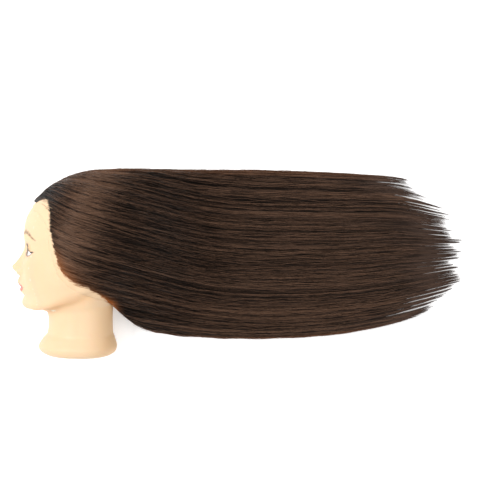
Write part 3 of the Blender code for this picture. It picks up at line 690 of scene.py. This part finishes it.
# Where the locks' tips end, as x over height.
TIP_LINE = (
    (23.5, 448), (42.5, 462), (54.5, 497), (65.5, 506), (77.5, 524), (89.5, 540), (100.5, 549),
    (112.5, 551), (123.5, 540), (147.5, 545), (170.5, 542), (193.5, 530), (205.5, 530),
    (216.5, 522), (228.5, 502), (239.5, 482), (251.5, 468), (267.5, 455),
)
HAIRLINE_MARGIN = 4.4    # hair starts to show only this far behind its roots
FRONT_X, FAR_X = -64.0, 566.0
BACK_OF_HEAD = 96.0
HINGE_X = 100.0
COMBED_X = 240.0         # where a strand's share across is set; it lies nearly level from here on
STATION_STEP = 6.0
COMB_STEP = 3.0
ACROSS = 48              # steps across the loft
WALL_SHARE = 0.3         # how much a steep place counts in the share across
SHARE_STEP = 0.02
# How far in degrees strands run below the lie of the mass, along x and by the share from nape to crown.
COMB = (
    (-64, 30), (-25, 28), (10, 17), (62, 15), (105, 15), (149, 14), (192, 8), (236, 3), (285, 0), (566, 0),
)
COMB_ACROSS = (
    (0, 0), (0.04, 0.35), (0.14, 0.95), (0.3, 1.05), (0.55, 1.05), (0.8, 1.0), (0.92, 0.6), (1, 0),
)
# Where strands keep that direction in spite of the mass getting wider, by the share and along x.
OWN_WAY_ACROSS = ((0, 0), (0.1, 1), (0.85, 1), (1, 0))
OWN_WAY = ((200, 1), (260, 0))
SECTIONS = ("nape", "lower_side", "side", "upper_side", "crown")


class HairSide:
    """The top or the underside of the hair as a loft in mm: places across it at each station along x."""

    def __init__(self, grid, upward):
        self.grid = grid
        self.upward = upward

    def at(self, x, share):
        """Points at x and a share of the way across from the nape's edge to the crown's."""
        i = np.clip((x - FRONT_X) / STATION_STEP, 0, len(self.grid) - 1.001)
        j = np.clip(share, 0, 1) * ACROSS * 0.99999
        i0, j0 = i.astype(int), j.astype(int)
        u, v = (i - i0)[..., None], (j - j0)[..., None]
        return ((self.grid[i0, j0] * (1 - v) + self.grid[i0, j0 + 1] * v) * (1 - u)
                + (self.grid[i0 + 1, j0] * (1 - v) + self.grid[i0 + 1, j0 + 1] * v) * u)

    def surface(self, x, share):
        """Points on the hair, the way across it and its outward normals."""
        beside = self.at(x, share + SHARE_STEP) - self.at(x, share - SHARE_STEP)
        onward = self.at(x + 4, share) - self.at(x - 4, share)
        normal = np.cross(onward, beside)
        normal /= np.linalg.norm(normal, axis=-1, keepdims=True) + 1e-9
        return self.at(x, share), beside, normal * self.upward

    def combed(self, share, x_from, x_to):
        """Follows the combed direction from x_from to x_to and gives the share across at each step."""
        count = int(round(abs(x_to - x_from) / COMB_STEP))
        places = np.linspace(x_from, x_to, count + 1)
        stride = (x_to - x_from) / count
        shares = [share.copy()]
        for x in places[:-1]:
            here = shares[-1]
            at_x = np.full(here.shape, x)
            slope = -np.tan(np.radians(line_at(COMB, x) * line_at(COMB_ACROSS, here)))
            wide = self.at(at_x, here + SHARE_STEP)[..., 1] - self.at(at_x, here - SHARE_STEP)[..., 1]
            width = line_at(UPPER_EDGE, x) - line_at(LOWER_EDGE, x)
            drift = self.at(at_x + stride, here)[..., 1] - self.at(at_x, here)[..., 1]
            turn = slope * stride - drift * (line_at(OWN_WAY_ACROSS, here) * line_at(OWN_WAY, x))
            shares.append(np.clip(here + turn / np.maximum(wide / (2 * SHARE_STEP), 0.45 * width), 0, 1))
        return places, np.array(shares)

    def paths(self, shares_end):
        """Shares across from the front to the tips, for strands given where they lie once combed level."""
        x_back, back = self.combed(shares_end, COMBED_X, FRONT_X)
        x_on, onward = self.combed(shares_end, COMBED_X, FAR_X)
        return np.concatenate([x_back[::-1], x_on[1:]]), np.concatenate([back[::-1], onward[1:]]).T

    def starts(self, places, shares, behind=0.0):
        """Where each path is first behind the hairline, by so many mm, as x."""
        surface = self.at(np.broadcast_to(places, shares.shape), shares)
        bare = inside_hair(surface) < behind
        return np.array([places[np.flatnonzero(row)[-1] + 1] if row.any() else places[0] for row in bare])

    def tips(self, share):
        """Where strands at these shares meet the line of the tips, as x."""
        tip = np.full(share.shape, 500.0)
        for _ in range(6):
            tip = 0.5 * tip + 0.5 * line_at(TIP_LINE, self.at(tip, share)[..., 1])
        return tip


def inside_hair(points):
    """Distance in mm behind the hairline, seen from above; negative on the face."""
    return beyond_edge(HAIRLINE, points[..., 0], points[..., 1]) + HAIRLINE_MARGIN


def share_at(places, shares, x):
    """The shares of paths at their own x, from their shares at the places common to all."""
    index = (x - places[0]) / (places[1] - places[0])
    low = np.clip(index.astype(int), 0, shares.shape[1] - 2)
    mixed = index - low
    own = np.arange(len(x))[:, None]
    return shares[own, low] * (1 - mixed) + shares[own, low + 1] * mixed


def cad_hair():
    """The CAD's hair, cap and skin as one tree to measure by rays."""
    hair = [name for name in frame["nodes"] if "_root_" in name or "_length_" in name]
    points, faces = [], []
    for name in hair + ["scalp_cap", "face_neck_skin"]:
        first = len(points)
        mesh = frame["nodes"][name].data
        points += [v.co.copy() for v in mesh.vertices]
        faces += [[first + i for i in polygon.vertices] for polygon in mesh.polygons]
    return BVHTree.FromPolygons(points, faces)


def measured(tree, x, y, downwards):
    """Heights in mm of the first surface met at x and each y, with gaps filled from beside them."""
    from_z, way = (1.0, -1) if downwards else (-1.0, 1)
    heights = []
    for at in y:
        hit = tree.ray_cast(Vector((x * MM + ORIGIN[0], at * MM + ORIGIN[1], from_z)), Vector((0, 0, way)))
        heights.append(np.nan if hit[0] is None else hit[0].z / MM)
    known = np.flatnonzero(~np.isnan(heights))
    if len(known) == 0:
        return np.full(len(y), 4.0)
    return np.interp(np.arange(len(y)), known, np.array(heights)[known])


def evenly(line):
    """The same line with points evenly along it, where steep stretches count less."""
    steps = np.linalg.norm(np.diff(line, axis=0) * (1, WALL_SHARE), axis=1)
    lengths = np.concatenate([[0], np.cumsum(steps)])
    places = np.linspace(0, lengths[-1], ACROSS + 1)
    return np.column_stack([np.interp(places, lengths, line[:, i]) for i in (0, 1)])


def hair_loop(tree, x):
    """Points over the top from the nape's edge to the crown's and back under, evenly along their length."""
    low, high = line_at(LOWER_EDGE, x), line_at(UPPER_EDGE, x)
    inset = min(2.0, 0.2 * (high - low))
    spread = 0.5 - 0.5 * np.cos(np.linspace(0, math.pi, 60))
    y = low + inset + (high - low - 2 * inset) * spread
    over_z, under_z = measured(tree, x, y, True), measured(tree, x, y, False)
    y[0], y[-1] = low, high
    middle = (over_z + under_z) / 2
    nape, crown = [(low, middle[0])], [(high, middle[-1])]
    top = evenly(np.concatenate([nape, np.column_stack([y, over_z]), crown]))
    under = evenly(np.concatenate([crown, np.column_stack([y, under_z])[::-1], nape]))
    across = np.concatenate([top, under[1:-1]])
    return np.column_stack([np.full(len(across), x), across])


def softened(loops):
    """Rounds the loft across and along, which takes out the flat facets that it was measured on."""
    for _ in range(5):
        loops[:, :, 1:] = (np.roll(loops, 1, axis=1) + 2 * loops + np.roll(loops, -1, axis=1))[:, :, 1:] / 4
        ends = np.concatenate([loops[:1], loops, loops[-1:]])
        loops[:, :, 1:] = ((ends[:-2] + 2 * ends[1:-1] + ends[2:]) / 4)[:, :, 1:]
    loops[:, :, 2] = np.maximum(loops[:, :, 2], 0.8)
    return loops


def hair_sides():
    """The top and the underside of the hair."""
    tree = cad_hair()
    loops = softened(np.array([hair_loop(tree, x) for x in np.arange(FRONT_X, FAR_X + 0.1, STATION_STEP)]))
    under = np.concatenate([loops[:, ACROSS:], loops[:, :1]], axis=1)[:, ::-1]
    return HairSide(loops[:, :ACROSS + 1], 1), HairSide(under, -1)


# ---- strands

class Locks:
    """Collects strands and base forms of one piece and makes one mesh of them."""

    def __init__(self):
        self.points, self.quads, self.triangles, self.values, self.count = [], [], [], [], 0

    def add(self, points, quads, triangles, values):
        self.points.append(points.reshape(-1, 3))
        self.quads.append(np.asarray(quads).reshape(-1, 4) + self.count)
        if len(triangles):
            self.triangles.append(np.asarray(triangles).reshape(-1, 3) + self.count)
        self.values.append(values.reshape(-1, 3))
        self.count += len(self.points[-1])

    def strands(self, paths, radii, values):
        """Closed three-sided tubes along paths, one row of points for each strand."""
        strands, rows = paths.shape[:2]
        ahead = np.gradient(paths, axis=1)
        ahead /= np.linalg.norm(ahead, axis=-1, keepdims=True) + 1e-12
        beside = np.cross(ahead, (0.0, 0.0, 1.0))
        beside /= np.linalg.norm(beside, axis=-1, keepdims=True) + 1e-12
        above = np.cross(beside, ahead)
        turn = rng.uniform(0, 2 * math.pi, strands)[:, None]
        ring = []
        for k in range(3):
            angle = turn + 2 * math.pi * k / 3
            offset = beside * np.cos(angle)[..., None] + above * np.sin(angle)[..., None]
            ring.append(paths + offset * radii[..., None])
        points = np.stack(ring, axis=2)
        base = (np.arange(strands) * rows * 3)[:, None, None]
        r = np.arange(rows - 1)[None, :, None] * 3
        k = np.arange(3)[None, None, :]
        n = (k + 1) % 3
        quads = np.stack([base + r + k, base + r + 3 + k, base + r + 3 + n, base + r + n], axis=-1)
        root = base[:, 0, 0][:, None]
        last = root + (rows - 1) * 3
        triangles = np.concatenate([root + [0, 1, 2], last + [0, 2, 1]])
        self.add(points, quads.reshape(-1, 4), triangles, np.repeat(values, 3, axis=1).reshape(-1, 3))

    def slab(self, top, bottom, values):
        """A closed form between two grids of points."""
        rows, columns = top.shape[:2]
        count = rows * columns
        upper = grid_quads(rows, columns)
        lower = upper[:, ::-1] + count
        border = np.concatenate([
            np.arange(columns), np.arange(2, rows + 1) * columns - 1,
            np.arange(count - 2, count - columns - 1, -1), np.arange(rows - 2, 0, -1) * columns,
        ])
        after = np.roll(border, -1)
        walls = np.stack([after, border, border + count, after + count], axis=-1)
        points = np.concatenate([top.reshape(-1, 3), bottom.reshape(-1, 3)])
        both = np.concatenate([values.reshape(-1, 3)] * 2)
        self.add(points, np.concatenate([upper, lower, walls]), (), both)

    def piece(self, name, material):
        points = np.concatenate(self.points) * MM + ORIGIN * (1, 1, 0)
        triangles = np.concatenate(self.triangles) if self.triangles else ()
        mesh = mesh_from(name, points, np.concatenate(self.quads), triangles)
        values = np.concatenate(self.values)
        for index, attribute in enumerate(("tone", "rim", "tip")):
            add_values(mesh, attribute, values[:, index])
        return add_piece(name, mesh, material)


TOP_STRANDS = 900        # in each section
LOOSE_STRANDS = 70       # stray ones over each section
UNDER_STRANDS = 1000
CORE_STRANDS = 800
SHEET_OVERLAP = 0.0015   # of neighbouring sections' base sheets, as a share across

WISPS = 46
wisp_numbers = np.random.default_rng(11)
WISP_EDGES = np.concatenate([[0], np.cumsum(wisp_numbers.uniform(0.35, 1.65, WISPS))])
WISP_EDGES /= WISP_EDGES[-1]
WISP_REACH = wisp_numbers.uniform(40, 150, WISPS)       # how far before its tip a wisp draws together
WISP_TIP = wisp_numbers.normal(0, 5.5, WISPS)
WISP_GATHER = wisp_numbers.uniform(0.15, 0.85, WISPS)
RIDGES = np.random.default_rng(5).normal(0, 1, (3, 3))[:, :2]
FINE_TONES = np.random.default_rng(3).normal(0, 1, 151)
BROAD_TONES = np.random.default_rng(4).normal(0, 1, 58)


def strand_rows(count):
    """Shares of a strand's length for its points, closer together over the head."""
    even = np.linspace(0, 1, count)
    return 0.55 * even + 0.45 * even ** 2.2


def strand_roots(start, root_share):
    """Where strands leave the scalp, as x, and which of them, by root_share, come up behind the hairline."""
    count = len(start)
    hidden = rng.random(count) < root_share
    wander = start + (BACK_OF_HEAD - start) * rng.random(count) ** 0.8
    root = np.where(hidden, np.maximum(wander, start), start + np.abs(rng.normal(0, 1.6, count)))
    return np.minimum(root, BACK_OF_HEAD), hidden


def strand_tips(side, shares_end, short):
    """Where strands end, as x, up to so many mm short, and the wisp that each of them belongs to."""
    count = len(shares_end)
    wisp = np.searchsorted(WISP_EDGES, shares_end + rng.normal(0, 0.002, count)).clip(1, WISPS) - 1
    spread = np.abs(rng.normal(0, 1, count))
    straggler = 60 * (rng.random(count) < 0.12) * rng.random(count)
    tip = side.tips(shares_end) + WISP_TIP[wisp] + 12 - 12 * spread - straggler - short * rng.random(count)
    return np.minimum(tip, FAR_X - 3), wisp


def strand_waves(x, share):
    """How far strands sway sideways and rise off the combed surface, and the ridges that they share."""
    count = len(x)
    phase = rng.uniform(0, 2 * math.pi, (count, 2))
    wave = rng.uniform(55, 130, (count, 2))
    sway = 0.55 * np.sin(x * 2 * math.pi / wave[:, :1] + phase[:, :1])
    lift = 0.35 * np.sin(x * 2 * math.pi / wave[:, 1:] + phase[:, 1:])
    ridge = sum(0.22 * height * np.sin(share * (150 + 70 * k) + x * 0.004 * (k + 1) + shift)
                for k, (height, shift) in enumerate(RIDGES))
    return sway, lift, ridge


def strand_tones(points, x, share, shares_end, tone_shift):
    """Tone of strands, dark to light: streaks, a painted highlight band behind the temple and painted shade
    on the slope behind it.
    """
    count = len(x)
    jittered = np.clip(shares_end + rng.normal(0, 0.0022, count), 0, 1)
    fine = FINE_TONES[(jittered * 150).astype(int)] * 0.17
    broad = BROAD_TONES[(jittered * 57).astype(int)] * 0.05
    tone = 0.30 + fine + broad + rng.normal(0, 0.17, count) + tone_shift
    tone = np.where(rng.random(count) < 0.08, tone + 0.35, tone)[:, None]
    # painted highlight where the hair rounds over the side of the head, painted shade on its slope down to
    # the table, and lighter towards the tips
    painted_highlight_band = hill(x + 74 - 0.42 * points[..., 1], 38)
    tone = tone + 0.58 * painted_highlight_band - 0.16 * hill(x - 110, 66) + 0.09 * ramp((x - 190) / 220)
    tone = np.clip(tone, 0.02, 1)
    return tone + 0.10 * ramp((share - 0.9) / 0.1) - 0.30 * ramp((-26 - x) / 14)


def strand_light_through(points, x, share):
    """How much of the skin's warm light comes through: along the hairline's low part and both edges."""
    behind = inside_hair(points) - HAIRLINE_MARGIN
    y = points[..., 1]
    low_part = ramp((x + 42) / 20) * ramp((75 - x) / 30) * ramp((168 - y) / 30)
    width = 2.6 + 4.4 * hill(y - 128, 24)
    rim = 0.85 * np.exp(-np.clip(behind, 0, None) / width) * low_part
    rim += 0.10 * ramp((share - 0.93) / 0.06) * ramp(x / 60)
    rim += 0.16 * ramp((0.04 - share) / 0.03) * ramp((x - 70) / 40)
    return np.clip(rim, 0, 1)


def make_strands(side, shares_end, depth, radius, rows, root_share, short=0.0, tone_shift=0.0):
    """Paths, radii and colour values of strands given by their shares across the combed hair."""
    places, shares = side.paths(shares_end)
    start = side.starts(places, shares)
    start = np.maximum(start, np.interp(shares[:, 0], [0, 1], [FRONT_X, FRONT_X + 2]))
    root, hidden = strand_roots(start, root_share)
    tip, wisp = strand_tips(side, shares_end, short)
    middle = (WISP_EDGES[wisp] + WISP_EDGES[wisp + 1]) / 2
    each = (root, hidden, tip, middle, depth, radius, WISP_REACH[wisp], WISP_GATHER[wisp])
    root, hidden, tip, middle, depth, radius, reach, gather = (value[:, None] for value in each)

    x = root + (tip - root) * strand_rows(rows)
    share = share_at(places, shares, x)
    share = share + (middle - share) * (ramp((x - tip + reach) / reach) * gather)
    points, beside, normal = side.surface(x, share)
    sway, lift, ridge = strand_waves(x, share)
    rooted = ramp((x - root) / np.where(hidden, 30, 14))
    sunk = np.where(hidden, 6.0, 1.6) * (1 - rooted) + depth * rooted
    offset = ridge * rooted + lift * rooted - sunk
    sideways = beside / (np.linalg.norm(beside, axis=-1, keepdims=True) + 1e-9)
    points = points + normal * offset[..., None] + sideways * (sway * rooted)[..., None]
    points[..., 2] = np.maximum(points[..., 2], 0.6)

    radii = radius * ((1 - 0.88 * ramp((x - tip + 60) / 60)) * (0.6 + 0.4 * rooted))
    tone = strand_tones(points, x, share, shares_end, tone_shift)
    # pale ends, painted light through the thin tips
    ends = ramp((x - tip + 80) / 80) * 0.7
    return points, radii, np.stack([tone, strand_light_through(points, x, share), ends], axis=-1)


def base_sheet(side, low, high, depth, thickness, short, columns, rows):
    """A closed sheet of packed hair just under the strands, between two combed lines."""
    shares_end = np.linspace(low, high, columns)
    places, shares = side.paths(shares_end)
    start = side.starts(places, shares, 1.5)[:, None]
    end = side.tips(shares_end)[:, None] - short
    t = strand_rows(rows)[None, :]
    x = start + (end - start) * t
    share = share_at(places, shares, x)
    points, _, normal = side.surface(x, share)
    relief = 0.45 * np.sin(share * 260 + 3 * np.sin(share * 31)) + 0.3 * np.sin(share * 611 + x * 0.02)
    thin = 1 - 0.8 * ramp((t - 0.85) / 0.15)
    near_start = np.clip(1 - (x - start) / 20, 0, 1)
    outside = points + normal * (relief - depth - 1.2 * near_start)[..., None]
    inside = outside - normal * (thickness * thin * (1 - 0.6 * near_start))[..., None]
    for layer in (outside, inside):
        layer[..., 2] = np.maximum(layer[..., 2], 0.5)
    if side.upward > 0:
        inside[..., 2] = np.minimum(inside[..., 2], outside[..., 2] - 0.3)
    else:
        inside[..., 2] = np.maximum(inside[..., 2], outside[..., 2] + 0.3)
    tone = 0.20 + 0.1 * np.sin(share * 190)
    # pale ends of the sheet, painted light through them
    ends = 0.3 * ramp((x - end + 60) / 60)
    return outside, inside, np.stack([tone, np.zeros(x.shape), ends], axis=-1)


# ---- pieces of hair

def section_bounds(top):
    """Shares across the combed hair where the sections meet, evenly apart at the hinges' line."""
    fine = np.linspace(0, 1, 401)
    places, shares = top.paths(fine)
    crossing = shares[:, np.argmin(np.abs(places - HINGE_X))]
    at_hinge = top.at(np.full(len(fine), HINGE_X), crossing)[:, 1]
    low, high = line_at(LOWER_EDGE, HINGE_X), line_at(UPPER_EDGE, HINGE_X)
    cuts = low + (high - low) * np.arange(1, len(SECTIONS)) / len(SECTIONS)
    return np.concatenate([[0], np.interp(cuts, at_hinge, fine), [1]])


def loose_strands(top, low, high):
    """Thin stray hairs that curl over a section and end short of its tips."""
    share = rng.uniform(low, high, LOOSE_STRANDS)
    depth = rng.uniform(-1.4, -0.5, LOOSE_STRANDS)
    radius = np.full(LOOSE_STRANDS, 0.2)
    points, radii, values = make_strands(top, share, depth, radius, 44, 0.6, short=120)
    curl = rng.uniform(28, 70, LOOSE_STRANDS)[:, None]
    phase = rng.uniform(0, 6.3, LOOSE_STRANDS)[:, None]
    swing = rng.uniform(0.3, 1.3, LOOSE_STRANDS)[:, None]
    points[..., 1] += swing * np.sin(points[..., 0] * 2 * math.pi / curl + phase)
    points[..., 2] += 0.5 * (1 + np.sin(points[..., 0] * 2 * math.pi / (curl * 1.7) + 2 * phase))
    values[..., 0] = np.clip(values[..., 0] + 0.55, 0, 1)
    return points, radii, values


def section_piece(top, section, low, high, material):
    """One combed section of the left side over a sheet of packed hair."""
    locks = Locks()
    share = rng.uniform(low, high, TOP_STRANDS)
    crowded = rng.random(TOP_STRANDS) < 0.25
    if high == 1:        # a quarter of the crown's strands crowd to its upper edge
        share = np.where(crowded, 1 - (1 - low) * rng.random(TOP_STRANDS) ** 2.2, share)
    depth = rng.uniform(-0.2, 1.6, TOP_STRANDS)
    radius = rng.uniform(0.26, 0.52, TOP_STRANDS)
    locks.strands(*make_strands(top, share, depth, radius, 30, 0.42))
    locks.strands(*loose_strands(top, low, high))
    columns = max(14, int(150 * (high - low)))
    edges = max(low - SHEET_OVERLAP, 0), min(high + SHEET_OVERLAP, 1)
    locks.slab(*base_sheet(top, *edges, depth=1.5, thickness=4.0, short=60, columns=columns, rows=60))
    piece = locks.piece(f"{section}_hair", material)
    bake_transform(piece)
    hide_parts(*[f"{section}_{part}_{k}" for part in ("root", "length") for k in (1, 2)])


def under_piece(under, material):
    """The right side's hair, from its own hairline to its flat lengths on the table."""
    locks = Locks()
    share = rng.random(UNDER_STRANDS)
    depth = rng.uniform(0, 1.6, UNDER_STRANDS)
    radius = rng.uniform(0.28, 0.55, UNDER_STRANDS)
    locks.strands(*make_strands(under, share, depth, radius, 26, 0.35, short=60, tone_shift=-0.05))
    locks.slab(*base_sheet(under, 0, 1, depth=1.5, thickness=3.5, short=75, columns=130, rows=60))
    piece = locks.piece("right_side_hair", material)
    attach(piece, "head")
    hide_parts(*[f"right_{part}_{k}" for part in ("root", "length") for k in range(1, 6)])


def core_piece(top, material):
    """The hair of the back of the head, inside the fan: what shows when the sections above it lift."""
    locks = Locks()
    share = rng.random(CORE_STRANDS)
    depth = rng.uniform(6.5, 8.5, CORE_STRANDS)
    radius = rng.uniform(0.3, 0.55, CORE_STRANDS)
    locks.strands(*make_strands(top, share, depth, radius, 24, 1.0, short=50, tone_shift=-0.08))
    locks.slab(*base_sheet(top, 0.02, 0.98, depth=8.5, thickness=3.0, short=80, columns=110, rows=56))
    piece = locks.piece("inner_hair", material)
    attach(piece, "head")
    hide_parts(*[f"core_length_{k}" for k in range(1, 6)])


# ---- stage

FLOOR_REACH = 4.0
FLOOR_DEPTH = 0.0006     # just below the hair that lies on it
FLOOR_GLOW = 0.32
SKY_STRENGTH = 0.74
SENSOR_WIDTH = 36
CAMERA_HEIGHT = 4.0
CAMERA_PLACE = (0.2501, 0.1502)          # from the neck's axis
SEEN_WIDTH = 0.725       # at the height of the head's middle
MIDDLE_HEIGHT = 0.08


def add_floor():
    n = Nodes("white_table", 0.75, 0.2)
    faint = n.noise(3, 2)
    n.bump(n.noise(900, 2), 0.05, 0.0003)
    material = n.finish(n.mix(faint, (0.93, 0.93, 0.93), (0.95, 0.95, 0.95)))
    n.shader.inputs["Emission Color"].default_value = (1, 1, 1, 1)
    n.shader.inputs["Emission Strength"].default_value = FLOOR_GLOW
    even = np.linspace(-FLOOR_REACH, FLOOR_REACH, 9)
    x, y = np.meshgrid(even, even)
    points = np.stack([x, y, np.full(x.shape, -FLOOR_DEPTH)], axis=-1).reshape(-1, 3)
    add_piece("table_top", mesh_from("table_top", points, grid_quads(9, 9)), material)


def add_light(name, place, target, size, power):
    lamp = bpy.data.lights.new(name, "AREA")
    lamp.size = size
    lamp.energy = power
    lamp_object = bpy.data.objects.new(name, lamp)
    bpy.context.scene.collection.objects.link(lamp_object)
    lamp_object.location = place
    lamp_object.rotation_euler = (Vector(target) - Vector(place)).to_track_quat("-Z", "Y").to_euler()


def add_stage():
    add_floor()
    world = bpy.data.worlds.new("soft_white")
    world.use_nodes = True
    world.node_tree.nodes["Background"].inputs["Color"].default_value = (1, 1, 1, 1)
    world.node_tree.nodes["Background"].inputs["Strength"].default_value = SKY_STRENGTH
    bpy.context.scene.world = world
    add_light("key", (-1.5, 0.35, 1.9), (-0.1, 0.0, 0.05), 1.0, 40)
    add_light("top", (0.3, 0.1, 2.6), (0.1, 0.0, 0.0), 2.2, 22)
    bpy.context.scene.view_settings.view_transform = "Standard"


def add_camera():
    camera = bpy.data.cameras.new("camera")
    camera.sensor_width = SENSOR_WIDTH
    camera.lens = SENSOR_WIDTH * (CAMERA_HEIGHT - MIDDLE_HEIGHT) / SEEN_WIDTH
    camera.clip_end = 50
    camera_object = bpy.data.objects.new("camera", camera)
    bpy.context.scene.collection.objects.link(camera_object)
    camera_object.location = (ORIGIN[0] + CAMERA_PLACE[0], ORIGIN[1] + CAMERA_PLACE[1], CAMERA_HEIGHT)
    bpy.context.scene.camera = camera_object


# ---- assembly

def dress_kept_nodes():
    looks = {
        "foam_core": foam_material(),
        "neck_disc": moulded_plastic("disc_plastic", linear(226, 220, 205), linear(214, 206, 188), 0.45),
        "clamp_socket": moulded_plastic("socket_plastic", linear(34, 34, 36), linear(48, 48, 50), 0.42),
    }
    for name, material in looks.items():
        frame["nodes"][name].material_slots[0].material = material


def build():
    face = face_piece()
    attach(face, "head")
    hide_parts("face_neck_skin")
    cap = cap_piece()
    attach(cap, "head")
    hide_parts("scalp_cap")
    dress_kept_nodes()

    top, under = hair_sides()
    material = hair_material("combed_hair")
    bounds = section_bounds(top)
    for section, low, high in zip(SECTIONS, bounds, bounds[1:]):
        section_piece(top, section, low, high, material)
    under_piece(under, material)
    core_piece(top, material)
    add_stage()
    add_camera()


build()
